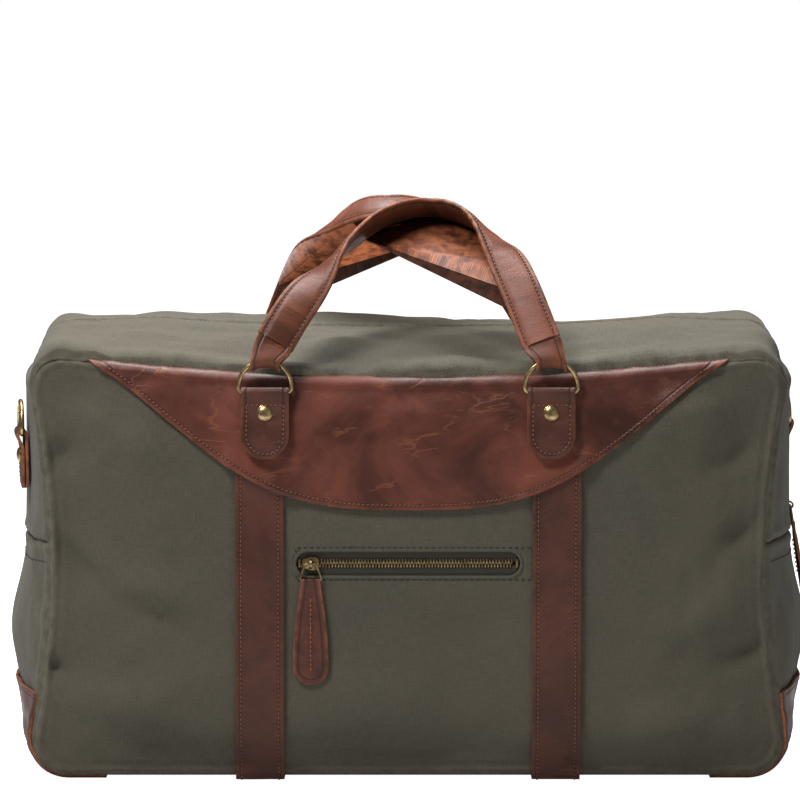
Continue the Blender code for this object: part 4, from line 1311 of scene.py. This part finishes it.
def spun(shape, profile, steps, place):
    """A profile of (radius, height) turned round Z, added to the shape."""
    made = bmesh.new()
    knots = [made.verts.new((radius, 0, height)) for radius, height in profile]
    edges = [made.edges.new(pair) for pair in zip(knots, knots[1:])]
    bmesh.ops.spin(made, geom=knots + edges, cent=(0, 0, 0), axis=(0, 0, 1), angle=2 * pi, steps=steps,
                   use_merge=True)
    bmesh.ops.remove_doubles(made, verts=made.verts, dist=1e-6)
    bmesh.ops.recalc_face_normals(made, faces=made.faces)
    bmesh.ops.transform(made, matrix=place, verts=made.verts)
    gather(shape, made)


def make_fitting(place, frame_at, surface, low, bar, rivet, ring_body):
    """A stitched leather tab folded over the bar of a D-ring, the ring and the tab's rivet."""
    reach = TAB_CLEAR + LEATHER + RING_WIRE + GAP
    fold = RING_WIRE + GAP
    round_end = low + TAB_WIDTH / 2

    def face(z):
        return surface(z) - surface(bar)

    def half_width(z):
        drop = max(0, round_end - z)
        return max(0.06, sqrt(max(0, 1 - (2 * drop / TAB_WIDTH) ** 2))) * TAB_WIDTH / 2

    def outer(z):
        """Underside of the outer layer; it closes on the inner one below the bar."""
        closed = TAB_CLEAR + LEATHER + face(z) + GAP
        pad = 0.0005 * ease((z - low) / 0.004) * ease((bar - z) / 0.02)
        return mix(reach + fold, closed + pad, ease((bar - z) / TAB_CLOSE))

    def spot(u, v):
        """Across, out and up, from the outer layer's end, over the bar, to the inner one's."""
        if abs(v) < TAB_FOLD:
            turn = pi / 2 * v / TAB_FOLD
            z = bar + fold * cos(turn)
            return u * half_width(z), reach - fold * sin(turn), z
        drop = (abs(v) - TAB_FOLD) / (1 - TAB_FOLD)
        z = mix(bar, low, 1 - (1 - drop) ** 1.7)
        out = outer(z) if v < 0 else TAB_CLEAR + LEATHER + face(z)
        return u * half_width(z), out, z

    def lay(u, v):
        across, out, z = spot(u, v)
        return frame_at @ Vector((across, -out, z))

    def cut(u, v):
        across, _, z = spot(u, v)
        return across + HANDLE_TAB_PLACE, copysign(bar - z, v) + bar

    def edge(u, v):
        across, _, z = spot(u, v)
        if z > round_end:
            return TAB_WIDTH / 2 - abs(across)
        return max(0.0, TAB_WIDTH / 2 - hypot(across, round_end - z))

    shape = laid_grid(16, 130, lay, cut, edge)
    tab = finish_piece("tab_leather_" + place, shape, "bag", ["tab", "raw"],
                       ["tab_" + place], 180)
    thicken_leather(tab)

    out_way = frame_at.to_3x3() @ Vector((0, -1, 0))

    def seat(across, z):
        return frame_at @ Vector((across, -outer(z) - LEATHER - 0.0001, z)), out_way

    inner_half = TAB_WIDTH / 2 - STITCH_INSET
    cross = bar - 0.0080
    loop = [seat(-inner_half, mix(cross, round_end, step / 40)) for step in range(41)]
    for step in range(1, 40):
        turn = pi * step / 40
        loop.append(seat(-inner_half * cos(turn), round_end - inner_half * sin(turn)))
    loop += [seat(inner_half, mix(round_end, cross, step / 40)) for step in range(41)]
    loop += [seat(mix(inner_half, -inner_half, step / 20), cross) for step in range(21)]
    sewn_piece("tab_stitching_" + place, [loop], sizes().stitch_pitch, "bag",
               "leather_thread")

    pivot = frame_at @ Matrix.Translation((0, -reach, bar))
    ring = bmesh.new()
    tube(ring, [pivot @ point for point in ring_points()], RING_WIRE, 14)
    finish_piece("ring_brass_" + place, ring, ring_body, ["brass"], ["d_ring_" + place], 180)

    slope = (surface(rivet + 0.004) - surface(rivet - 0.004)) / 0.008
    head = bmesh.new()
    profile = [(0.0, RIVET_HEIGHT)]
    for step in range(1, 8):
        turn = pi / 2 * step / 8
        profile.append((RIVET_RADIUS * 0.94 * sin(turn), 0.0005 + (RIVET_HEIGHT - 0.0005) * cos(turn)))
    profile += [(RIVET_RADIUS * 0.95, 0.0006), (RIVET_RADIUS, 0.0005), (RIVET_RADIUS, -0.0008),
                (0.0, -0.0008)]
    spot_at = frame_at @ Matrix.Translation((0, -outer(rivet) - LEATHER, rivet))
    spun(head, profile, 28, spot_at @ Matrix.Rotation(pi / 2 + atan(slope), 4, "X"))
    finish_piece("rivet_brass_" + place, head, "bag", ["brass"], ["rivet_" + place], 50)


def yoke_surface(z):
    return panel_out(HANDLE_TAB_PLACE, z) + LAY + LEATHER


def side_surface(z):
    return side_out(SIDE_TAB_PLACE, z)


def make_fittings():
    for face, turn in (("front", 0), ("back", pi)):
        for side, middle in (("left", -HANDLE_TAB_PLACE), ("right", HANDLE_TAB_PLACE)):
            place = face + "_" + side
            at = fitting_frame(turn, -middle if turn else middle, yoke_surface, HANDLE_BAR)
            make_fitting(place, at, yoke_surface, HANDLE_TAB_LOW, HANDLE_BAR, HANDLE_RIVET, "ring_" + place)
    slope = 2 * side_swell(SIDE_BAR) * SIDE_TAB_PLACE / RIM ** 2
    for place, turn in (("side_left", -pi / 2), ("side_right", pi / 2)):
        at = fitting_frame(turn, SIDE_TAB_PLACE, side_surface, SIDE_BAR)
        at = at @ Matrix.Rotation(atan(slope), 4, "Z")
        make_fitting(place, at, side_surface, SIDE_TAB_LOW, SIDE_BAR, SIDE_RIVET, "ring_" + place)


# ---------------------------------------------------------------- handles
RING_OUT = yoke_surface(HANDLE_BAR) + TAB_CLEAR + LEATHER + RING_WIRE + GAP
RING_TOP = HANDLE_BAR + RING_RISE + RING_ARC


def handle_knots():
    return [Vector((across * HANDLE_TAB_PLACE,
                    mix(-RING_OUT + HANDLE_START, -HANDLE_LEAN_END, back),
                    RING_TOP + TONGUE_LENGTH + HANDLE_RISE * rise)) for across, back, rise in HANDLE_SHAPE]


def handle_middle(share):
    """A point of the handle's middle line and its direction: a smooth curve through the knots."""
    knots = handle_knots()
    knots = [2 * knots[0] - knots[1]] + knots + [2 * knots[-1] - knots[-2]]
    spans = len(knots) - 3
    place = min(max(share, 0) * spans, spans - 1e-6)
    first = int(place)
    t = place - first
    a, b, c, d = knots[first:first + 4]
    point = 0.5 * (2 * b + (c - a) * t + (2 * a - 5 * b + 4 * c - d) * t ** 2
                   + (3 * b - a - 3 * c + d) * t ** 3)
    run = 0.5 * ((c - a) + 2 * (2 * a - 5 * b + 4 * c - d) * t + 3 * (3 * b - a - 3 * c + d) * t ** 2)
    return point, run.normalized()


def handle_across(share):
    """Direction across the strap, towards the rim that is in front at the top."""
    run = handle_middle(share)[1]
    flat = Vector((run.z, 0, -run.x)).normalized()
    top = Vector((0, -cos(HANDLE_TOP_TILT), sin(HANDLE_TOP_TILT)))
    across = flat.lerp(top, ease((min(share, 1 - share) - 0.04) / 0.36))
    return (across - run * across.dot(run)).normalized()


HANDLE_RUN = 0.33                           # length of a handle's leather, for its cut


def handle_pad(across):
    """Half thickness of the handle: padded in the middle, pressed down by the stitching at its sides."""
    near = HANDLE_WIDTH / 2 - abs(across)
    full = HANDLE_THICK / 2 * mix(HANDLE_RIM, 1, ease((near - STITCH_INSET) / 0.0040))
    return full - 0.00035 * bump(near, STITCH_INSET, 0.0009)


def handle_side(turn):
    """How far across the handle its skin is, for a turn round its flat, round-edged section."""
    return copysign(abs(cos(turn)) ** 0.42, cos(turn)) * HANDLE_WIDTH / 2


def handle_skin(share, turn):
    """A point of the handle's skin: turn goes once round its section."""
    middle, run = handle_middle(share)
    across = handle_across(share)
    up = across.cross(run).normalized()
    side = handle_side(turn)
    rise = copysign(min(1, abs(sin(turn)) ** 0.62), sin(turn)) * handle_pad(side)
    creased = 0.0002 * wave(share * HANDLE_RUN, side * 0.3, 0, 0.006, 31 if rise > 0 else 37, 2)
    return middle + across * side + up * (rise + creased)


def make_handles():
    for face, body, turned in (("front", "handle_front", False), ("back", "handle_back", True)):
        def spin(point):
            return half_turn(point) if turned else point

        def lay(u, v):
            return spin(handle_skin((v + 1) / 2, pi * u))

        def cut(u, v):
            return 0.034 * u + (0.4 if turned else 0.0), (v + 1) / 2 * HANDLE_RUN

        def edge(u, v):
            return HANDLE_WIDTH / 2 - abs(handle_side(pi * u))

        shape = laid_grid(40, 200, lay, cut, edge)
        bmesh.ops.remove_doubles(shape, verts=shape.verts, dist=1e-6)
        bmesh.ops.holes_fill(shape, edges=shape.edges)
        bmesh.ops.recalc_face_normals(shape, faces=shape.faces)
        handle = finish_piece("handle_leather_" + face, shape, body, ["handle"],
                              ["handle_" + face], 60)

        rows = []
        for level in (1, -1):
            for side in (1, -1):
                row = []
                for step in range(401):
                    share = mix(0.008, 0.992, step / 400)
                    middle, run = handle_middle(share)
                    across = handle_across(share)
                    up = across.cross(run).normalized() * level
                    reach = side * (HANDLE_WIDTH / 2 - STITCH_INSET)
                    point = middle + across * reach + up * (handle_pad(reach) + 0.0001)
                    row.append((spin(point), spin(up)))
                rows.append(row)
        sewn_piece("handle_stitching_" + face, rows, sizes().stitch_pitch, body,
                   "leather_thread")

    make_tongues()


def make_tongues():
    """The thin ends of the handles, each wrapped round a ring."""
    for side, end, place in (("left", 0, -HANDLE_TAB_PLACE), ("right", 1, HANDLE_TAB_PLACE)):
        ring = Vector((place, -RING_OUT, RING_TOP))
        seat, run = handle_middle(end)
        across = handle_across(end)
        if end:
            run = -run
            across = -across
        seat = seat + run * 0.0015
        rise = seat - ring
        upright = Vector((0, rise.y, rise.z)).normalized()
        loop = TONGUE_SLACK + TONGUE / 2
        closed = HANDLE_THICK / 2 * HANDLE_RIM - TONGUE / 2 - 0.0002

        def lay(u, v):
            if abs(v) < 0.5:
                turn = pi * v
                level = 0.0
                middle = ring - upright * loop * cos(turn)
                out = -loop * sin(turn)
            else:
                level = (abs(v) - 0.5) * 2
                middle = ring + rise * level
                out = -copysign(mix(loop, closed, ease(level)), v)
            wide = Vector((1, 0, 0)).lerp(across, level).normalized()
            outward = wide.cross(upright.lerp(rise.normalized(), level)).normalized()
            reach = u * mix(TONGUE_WIDTH, HANDLE_WIDTH - 0.0016, ease(level * 1.4)) / 2
            droop = (RING_ARC - sqrt(RING_ARC ** 2 - reach ** 2)) * (1 - level) ** 2
            return middle + wide * reach + outward * out - Vector((0, 0, droop))

        def cut(u, v):
            return 0.012 * u + place, 0.026 * v + 0.8

        def edge(u, v):
            return (1 - abs(u)) * 0.011

        opposite = {"left": "right", "right": "left"}[side]
        for name, body, surface in (("front_" + side, "handle_front", lay),
                                    ("back_" + opposite, "handle_back", half_turned(lay))):
            shape = laid_grid(12, 64, surface, cut, edge)
            piece = finish_piece("tongue_leather_" + name, shape, body,
                                 ["handle", "raw"], ["tongue_" + name], 180)
            thicken(piece, TONGUE, 0, 1, 0.0003)


# ---------------------------------------------------------------- zips
def add_tooth(shape, middle, along, across, out, reach):
    """One tooth: a short bar that reaches across the zip's middle, with a rounded head."""
    turn = Matrix((along, across, out)).transposed().to_4x4()
    rounded_block(shape, (0.00125, reach, TEETH * 0.82), middle, 0.00035, turn, 1)


def main_zip_path(count):
    """(point, along, outward) along the middle of the main zip, on the teeth's outer face."""
    end = outline_at_height(MAIN_END)
    below = CANVAS + LAY - TEETH / 2
    path = []
    for step in range(count + 1):
        s = mix(-end, end, step / count)
        outward = gusset_outward(s)
        path.append((gusset_place(s, 0, below + zip_dip(s)), outward))
    return path


def even_steps(path, pitch):
    """(point, along, outward) at equal steps along a path of (point, outward)."""
    run, reach = 0.0, pitch / 2
    found = []
    for (start, outward), (end, _) in zip(path, path[1:]):
        length = (end - start).length
        along = (end - start).normalized()
        while run + length >= reach:
            found.append((start + along * (reach - run), along, outward))
            reach += pitch
        run += length
    return found


def make_main_zip():
    end = outline_at_height(MAIN_END)
    below = CANVAS + LAY

    def tape_y(v):
        return mix(-TAPE_HALF_WIDTH, -0.0012, (v + 1) / 2)

    def lay_tape(u, v):
        return gusset_place(end * u, tape_y(v), below + zip_dip(end * u))

    def cut(u, v):
        return run_to(end * u), tape_y(v)

    for name, node, lay in (("front", "main_zip_tape_front", lay_tape),
                            ("back", "main_zip_tape_back", half_turned(lay_tape))):
        shape = laid_grid(160, 3, lay, cut, lambda u, v: 0.01)
        tape = finish_piece("main_tape_" + name, shape, "bag", ["tape"], [node], 180)
        thicken(tape, TAPE, -1)

    path = main_zip_path(400)
    for name, node, side in (("front", "main_zip_chain_front", -1), ("back", "main_zip_chain_back", 1)):
        teeth = bmesh.new()
        for index, (point, along, outward) in enumerate(even_steps(path, sizes().tooth_pitch / 2)):
            if index % 2 != (side > 0):
                continue
            across = outward.cross(along).normalized()
            middle = point + Vector((0, side * 0.00125, 0)) - outward * TEETH * 0.45
            add_tooth(teeth, middle, along, across, outward, 0.0034)
        finish_piece("main_teeth_" + name, teeth, "bag", ["antique"], [node], 50)
    for name, edge in (("low", -end), ("high", end)):
        shape = bmesh.new()
        outward = gusset_outward(edge)
        along = Vector((outward.z, 0, -outward.x))
        turn = Matrix((along, Vector((0, 1, 0)), outward)).transposed().to_4x4()
        rounded_block(shape, (0.0030, 0.0062, 0.0020),
                      gusset_place(edge, 0, below - TEETH / 4), 0.0005, turn, 2)
        finish_piece("main_zip_stop_" + name, shape, "bag", ["antique"])
    face = side_out(0, MAIN_SLIDER) - below + TEETH / 2
    at = Matrix.Rotation(pi / 2, 4, "Z") @ Matrix.Translation((0, -face, MAIN_SLIDER))
    make_slider("main", at, False, MAIN_PULL, MAIN_PULL_TILT)


def make_pocket_zip():
    face = panel_out(POCKET_HALF, POCKET_ZIP)
    back = -face + CANVAS + 2 * GAP
    for name, node, side in (("upper", "pocket_zip_tape_upper", 1), ("lower", "pocket_zip_tape_lower", -1)):
        def lay(u, v):
            return Vector((u * (POCKET_HALF + 0.002), back,
                           POCKET_ZIP + side * mix(0.0010, TAPE_HALF_WIDTH, (v * side + 1) / 2)))

        def cut(u, v):
            return u * POCKET_HALF, side * 0.01 + v * 0.006

        shape = laid_grid(60, 4, lay, cut, lambda u, v: 0.01)
        tape = finish_piece("pocket_tape_" + name, shape, "bag", ["tape"], [node], 180)
        thicken(tape, TAPE, -1)
        teeth = bmesh.new()
        reach = POCKET_HALF - 0.0030
        pitch = sizes().tooth_pitch
        count = int(2 * reach / pitch)
        for index in range(count):
            x = -reach + (index + (0.5 if side > 0 else 0.0)) * pitch
            add_tooth(teeth, Vector((x, back - TEETH * 0.05, POCKET_ZIP + side * 0.00125)), Vector((1, 0, 0)),
                      Vector((0, 0, 1)), Vector((0, -1, 0)), 0.0034)
        chain = "pocket_zip_chain_" + name
        finish_piece("pocket_teeth_" + name, teeth, "bag", ["antique"], [chain], 50)
    for name, side in (("left", -1), ("right", 1)):
        shape = bmesh.new()
        rounded_block(shape, (0.0022, TEETH, 0.0062),
                      Vector((side * (POCKET_HALF - 0.0017), back, POCKET_ZIP)), 0.0005)
        finish_piece("pocket_stop_" + name, shape, "bag", ["antique"],
                     ["pocket_zip_stop_" + name], 50)
    at = Matrix.Translation((POCKET_SLIDER, back - TEETH / 2, POCKET_ZIP))
    make_slider("pocket", at, True, POCKET_PULL)


POCKET_LIP = 0.0012                         # radius of the folded lip round the opening
LIP_STEP = 0.003


def canvas_front(x, z, lift):
    return Vector((x, -canvas_out(x, z, 1) - lift, z))


def make_pocket_edge():
    """The folded canvas round the pocket's opening and the row sewn round it."""
    ring = slot_outline(POCKET_HALF + SLOT_CLEAR, POCKET_SLOT + SLOT_CLEAR, 24)
    long_run = []
    for first, second in zip(ring, ring[1:] + ring[:1]):
        pieces = max(1, ceil((second - first).length / LIP_STEP))
        long_run += [first.lerp(second, part / pieces) for part in range(pieces)]
    count = len(long_run)

    def lay(u, v):
        step = round((v + 1) / 2 * count) % count
        here = long_run[step]
        run = (long_run[(step + 1) % count] - long_run[step - 1]).normalized()
        away = run.cross(Vector((0, 1, 0)))
        if away.dot(here) < 0:
            away = -away
        turn = pi * u
        soft = 1 + 0.10 * wave(here.x, 0, here.z, 0.010, 41, 2)
        centre = canvas_front(here.x, POCKET_ZIP + here.z, 0.0) + away * 0.0002
        return centre + (away * cos(turn) + Vector((0, -1, 0)) * sin(turn) * 0.62) * POCKET_LIP * soft

    def cut(u, v):
        return (v + 1) / 2 * count * LIP_STEP, u * 0.005

    shape = laid_grid(14, count, lay, cut, lambda u, v: 0.03)
    bmesh.ops.remove_doubles(shape, verts=shape.verts, dist=1e-6)
    bmesh.ops.recalc_face_normals(shape, faces=shape.faces)
    finish_piece("pocket_edge_fold", shape, "bag", ["canvas"], (), 180)

    left, right = POCKET_SEWN
    low, high = POCKET_ZIP - POCKET_SEWN_RISE, POCKET_ZIP + POCKET_SEWN_RISE
    corners = [(left, low), (right, low), (right, high), (left, high), (left, low)]
    row = []
    for (x1, z1), (x2, z2) in zip(corners, corners[1:]):
        for part in range(60):
            share = part / 60
            row.append((canvas_front(mix(x1, x2, share), mix(z1, z2, share), 0.0001), Vector((0, -1, 0))))
    sewn_piece("pocket_stitching", [row], 0.0043, "bag", "canvas_thread", 0.62)


def slider_plate(shape, place, depth):
    """One plate of a slider: two shoulders at the front and a narrower tail, its edges rounded."""
    half = SLIDER_WIDTH / 2
    long = SLIDER_LENGTH / 2
    right = [(half * 0.42, long), (half * 0.80, long * 0.86), (half, long * 0.45), (half, -long * 0.05),
             (half * 0.78, -long * 0.50), (half * 0.70, -long * 0.95), (half * 0.50, -long)]
    ring = right + [(-x, z) for x, z in reversed(right)]
    made = bmesh.new()
    face = made.faces.new([made.verts.new((x, 0, z)) for x, z in ring])
    grown = bmesh.ops.extrude_face_region(made, geom=[face])["geom"]
    bmesh.ops.translate(made, vec=(0, depth, 0),
                        verts=[item for item in grown if isinstance(item, bmesh.types.BMVert)])
    bmesh.ops.recalc_face_normals(made, faces=made.faces)
    sharp = [edge for edge in made.edges if edge.calc_face_angle(0) > radians(50)]
    bmesh.ops.bevel(made, geom=sharp, offset=depth * 0.3, segments=2, profile=0.5, affect="EDGES",
                    material=-1)
    bmesh.ops.transform(made, matrix=place, verts=made.verts)
    gather(shape, made)


def make_slider(zip_name, at, sideways, pull_length, tilt=0.0):
    """Slider, wire bail and leather pull; the pull hangs down and turns on the slider's bridge."""
    slider_body = zip_name + "_slider"
    pull_body = zip_name + "_pull"
    outer = SLIDER_CLEAR + SLIDER_PLATE
    deep = TEETH + SLIDER_CLEAR
    turn = Matrix.Rotation(pi / 2, 4, "Y") if sideways else Matrix.Identity(4)
    slider = bmesh.new()
    slider_plate(slider, at @ turn @ Matrix.Translation((0, -outer, 0)), SLIDER_PLATE)
    slider_plate(slider, at @ turn @ Matrix.Translation((0, deep, 0)), SLIDER_PLATE)
    stand = at @ turn
    rounded_block(slider, (2 * SLIDER_WEB, deep + SLIDER_CLEAR + SLIDER_PLATE, SLIDER_LENGTH * 0.5),
                  stand @ Vector((0, (deep - SLIDER_CLEAR) / 2, 0)), 0.0002,
                  stand.to_3x3().to_4x4())
    bridge_out = outer + BRIDGE_HEIGHT
    hole_out = bridge_out - BRIDGE_ROOF - BRIDGE_HOLE / 2
    arch = []
    for step in range(25):
        bend = pi * step / 24
        arch.append(Vector((0, -outer + 0.0006 - (BRIDGE_HEIGHT - 0.0001) * sin(bend) ** 0.6,
                            BRIDGE_LENGTH / 2 * 0.86 * cos(bend))))
    for offset in (-0.00055, 0.0, 0.00055):
        tube(slider, [at @ (point + Vector((offset, 0, 0))) for point in arch], 0.00068, 10, False)
    finish_piece(zip_name + "_slider_brass", slider, slider_body, ["antique"],
                 [zip_name + "_zip_slider"], 40)

    pivot = at @ Matrix.Translation((0, -hole_out, 0)) @ Matrix.Rotation(-tilt, 4, "X")
    top, low = BAIL_TOP / 2, BAIL_WIDTH / 2
    soft = 0.0018
    corners = ((top - soft, -soft), (-top + soft, -soft),
               (-low + soft, -BAIL_DROP + soft), (low - soft, -BAIL_DROP + soft))
    points = []
    for quarter, (x, z) in enumerate(corners):
        for step in range(7):
            bend = pi / 2 * quarter + pi / 12 * step
            points.append(Vector((x + soft * cos(bend), 0, z + soft * sin(bend))))
    wire = bmesh.new()
    tube(wire, [pivot @ point for point in points], BAIL_WIRE, 12)
    finish_piece(zip_name + "_bail_wire", wire, pull_body, ["antique"],
                 [zip_name + "_zip_bail"], 180)
    make_pull(zip_name, pivot @ Matrix.Translation((0, 0, -BAIL_DROP)), pull_length, pull_body)


def make_pull(zip_name, at, length, body):
    """Two layers of leather folded over the bail and sewn together up their middle."""
    straight = length - PULL_BELLY
    layer = 0.0013
    fold = BAIL_WIRE + GAP
    end = PULL_FOLD - length

    def half_width(z):
        drop = PULL_FOLD - z
        if drop <= straight:
            return mix(PULL_NECK, PULL_BELLY, sin(pi / 2 * max(0, drop) / straight))
        return max(0.05 * PULL_BELLY, sqrt(max(0, PULL_BELLY ** 2 - (drop - straight) ** 2)))

    def spot(u, v):
        if abs(v) < 0.12:
            turn = pi / 2 * v / 0.12
            z = fold * cos(turn)
            return u * half_width(z), -fold * sin(turn), z
        drop = (abs(v) - 0.12) / 0.88
        z = mix(0, end, 1 - (1 - drop) ** 1.5)
        gap = mix(fold, 0.00025, ease(-z / 0.012))
        return u * half_width(z), -copysign(gap, v), z

    def lay(u, v):
        across, back, z = spot(u, v)
        cup = 0.0009 * (across / PULL_BELLY) ** 2
        return at @ Vector((across, -back - cup, z))

    def cut(u, v):
        across, _, z = spot(u, v)
        return across + 0.3, z + copysign(0.2, v)

    def edge(u, v):
        across, _, z = spot(u, v)
        drop = PULL_FOLD - z
        if drop <= straight:
            return (1 - abs(u)) * half_width(z)
        return max(0.0, PULL_BELLY - hypot(across, drop - straight))

    shape = laid_grid(14, 110, lay, cut, edge)
    bmesh.ops.reverse_faces(shape, faces=shape.faces)
    piece = finish_piece(zip_name + "_pull_leather", shape, body, ["pull", "raw"],
                         [zip_name + "_zip_pull"], 180)
    thicken(piece, layer, 1, 1, 0.00028)
    rows = []
    for level in (-1, 1):
        out = at.to_3x3() @ Vector((0, level, 0))
        row = []
        for step in range(81):
            z = mix(-0.012, end + 0.010, step / 80)
            row.append((at @ Vector((0, level * (layer + 0.00035), z)), out))
        rows.append(row)
    sewn_piece(zip_name + "_pull_stitching", rows, sizes().stitch_pitch, body,
               "bright_thread", 0.8)


# ---------------------------------------------------------------- inside
def dress_inside():
    """The lining, the pocket's pouch and the base board keep their shape and take their finish."""
    for node, material in (("lining", "lining"), ("pocket_pouch", "lining"), ("base_board", "board")):
        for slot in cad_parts[node].material_slots:
            slot.material = MATERIALS[material]


# ---------------------------------------------------------------- stage
def make_stage():
    scene = bpy.context.scene
    scene.view_settings.view_transform = "Standard"
    floor = bmesh.new()
    bmesh.ops.create_grid(floor, x_segments=1, y_segments=1, size=6)
    mesh = bpy.data.meshes.new("floor")
    floor.to_mesh(mesh)
    floor.free()
    ground = bpy.data.objects.new("floor", mesh)
    scene.collection.objects.link(ground)
    material, tree, shader, place = new_material("pale_floor")
    shade = tint(tree, cloud(tree, place, 2.0), (0.62, 0.62, 0.62), (0.64, 0.64, 0.64))
    tree.links.new(shade, shader.inputs["Base Color"])
    shader.inputs["Roughness"].default_value = 0.7
    shader.inputs["Emission Color"].default_value = (1, 1, 1, 1)
    glow = add(tree, "LightPath").outputs["Is Camera Ray"]
    tree.links.new(glow, shader.inputs["Emission Strength"])
    mesh.materials.append(material)
    ground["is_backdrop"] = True

    world = bpy.data.worlds.new("studio")
    world.use_nodes = True
    backdrop = world.node_tree.nodes["Background"]
    backdrop.inputs["Color"].default_value = (1, 1, 1, 1)
    seen = add(world.node_tree, "LightPath").outputs["Is Camera Ray"]
    strength = add(world.node_tree, "MapRange", {"Value": seen, "To Min": 0.15, "To Max": 1.0})
    world.node_tree.links.new(strength.outputs[0], backdrop.inputs["Strength"])
    scene.world = world

    for name, place, aim, size, power in (
            ("top_softbox", (-0.10, 0.30, 1.6), (0, 0.0, 0.25), 0.9, 40.0),
            ("key_softbox", (-0.75, -0.80, 1.65), (0, 0, 0.15), 0.45, 27.0),
            ("front_fill", (1.2, -2.2, 0.8), (0, 0, 0.15), 1.2, 2.5)):
        lamp = bpy.data.lights.new(name, "AREA")
        lamp.size = size
        lamp.energy = power
        light = bpy.data.objects.new(name, lamp)
        light.location = place
        light.rotation_euler = (Vector(place) - Vector(aim)).to_track_quat("Z", "Y").to_euler()
        scene.collection.objects.link(light)

    lens = bpy.data.cameras.new("camera")
    camera = bpy.data.objects.new("camera", lens)
    away, rise = 3.0, radians(5.0)
    aim = Vector((-0.0055, -RIM - CROWN, 0.2595))
    camera.location = aim + Vector((0, -cos(rise), sin(rise))) * away
    camera.rotation_euler = (pi / 2 - rise, 0, 0)
    lens.sensor_width = 36
    lens.lens = 36 * away / 0.536
    lens.clip_end = 50
    scene.collection.objects.link(camera)
    scene.camera = camera


# ---------------------------------------------------------------- operators
class WEEKENDER_OT_materials(Operator):
    """Make the bag's canvas, leather, thread and brass."""
    bl_idname = "weekender.materials"
    bl_label = "Materials"

    def execute(self, context):
        make_materials()
        return {"FINISHED"}


class WEEKENDER_OT_canvas(Operator):
    """Make the canvas panels and gussets with their folds, and sew them."""
    bl_idname = "weekender.canvas"
    bl_label = "Canvas"

    def execute(self, context):
        make_canvas()
        sew_canvas()
        return {"FINISHED"}


class WEEKENDER_OT_yokes(Operator):
    """Lay the leather yokes on the front and the back."""
    bl_idname = "weekender.yokes"
    bl_label = "Yokes"

    def execute(self, context):
        make_yokes()
        return {"FINISHED"}


class WEEKENDER_OT_straps(Operator):
    """Lay the leather straps down the bag and under it."""
    bl_idname = "weekender.straps"
    bl_label = "Straps"

    def execute(self, context):
        make_straps()
        return {"FINISHED"}


class WEEKENDER_OT_end_guards(Operator):
    """Lay the leather guards round the lower ends."""
    bl_idname = "weekender.end_guards"
    bl_label = "End Guards"

    def execute(self, context):
        make_end_guards()
        return {"FINISHED"}


class WEEKENDER_OT_fittings(Operator):
    """Make the D-rings with their tabs and rivets."""
    bl_idname = "weekender.fittings"
    bl_label = "Rings and Tabs"

    def execute(self, context):
        make_fittings()
        return {"FINISHED"}


class WEEKENDER_OT_handles(Operator):
    """Make the padded handles and the tongues that hold them to the rings."""
    bl_idname = "weekender.handles"
    bl_label = "Handles"

    def execute(self, context):
        make_handles()
        return {"FINISHED"}


class WEEKENDER_OT_main_zip(Operator):
    """Make the main zip that runs over the top of the bag."""
    bl_idname = "weekender.main_zip"
    bl_label = "Main Zip"

    def execute(self, context):
        make_main_zip()
        return {"FINISHED"}


class WEEKENDER_OT_pocket_zip(Operator):
    """Make the front pocket's zip and the folded canvas round it."""
    bl_idname = "weekender.pocket_zip"
    bl_label = "Pocket Zip"

    def execute(self, context):
        make_pocket_zip()
        make_pocket_edge()
        return {"FINISHED"}


class WEEKENDER_OT_inside(Operator):
    """Give the lining, the pouch and the base board their cloth and board."""
    bl_idname = "weekender.inside"
    bl_label = "Inside"

    def execute(self, context):
        dress_inside()
        return {"FINISHED"}


class WEEKENDER_OT_stage(Operator):
    """Set the pale floor, the soft lights and the camera."""
    bl_idname = "weekender.stage"
    bl_label = "Stage"

    def execute(self, context):
        make_stage()
        return {"FINISHED"}


OPERATORS = (
    WEEKENDER_OT_materials,
    WEEKENDER_OT_canvas,
    WEEKENDER_OT_yokes,
    WEEKENDER_OT_straps,
    WEEKENDER_OT_end_guards,
    WEEKENDER_OT_fittings,
    WEEKENDER_OT_handles,
    WEEKENDER_OT_main_zip,
    WEEKENDER_OT_pocket_zip,
    WEEKENDER_OT_inside,
    WEEKENDER_OT_stage,
)


class WEEKENDER_PT_panel(Panel):
    """Lists the bag's sizes, its colours and the operators that make it."""
    bl_label = "Weekender Bag"
    bl_idname = "WEEKENDER_PT_panel"
    bl_space_type = "VIEW_3D"
    bl_region_type = "UI"
    bl_category = "Weekender"

    def draw(self, context):
        layout = self.layout
        for group in (context.scene.weekender_sizes, context.scene.weekender_colours):
            box = layout.box()
            for name in group.__annotations__:
                box.prop(group, name)
        for operator in OPERATORS:
            layout.operator(operator.bl_idname)


CLASSES = (WeekenderSizes, WeekenderColours, *OPERATORS, WEEKENDER_PT_panel)


def register():
    for item in CLASSES:
        bpy.utils.register_class(item)
    bpy.types.Scene.weekender_sizes = PointerProperty(type=WeekenderSizes)
    bpy.types.Scene.weekender_colours = PointerProperty(type=WeekenderColours)


def unregister():
    del bpy.types.Scene.weekender_colours
    del bpy.types.Scene.weekender_sizes
    for item in reversed(CLASSES):
        bpy.utils.unregister_class(item)


def main():
    register()
    for operator in OPERATORS:
        group, name = operator.bl_idname.split(".")
        getattr(getattr(bpy.ops, group), name)()
    boxes = [[list(corner) for corner in box] for box in (CAD_BOX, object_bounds())]


if __name__ == "__main__":
    main()
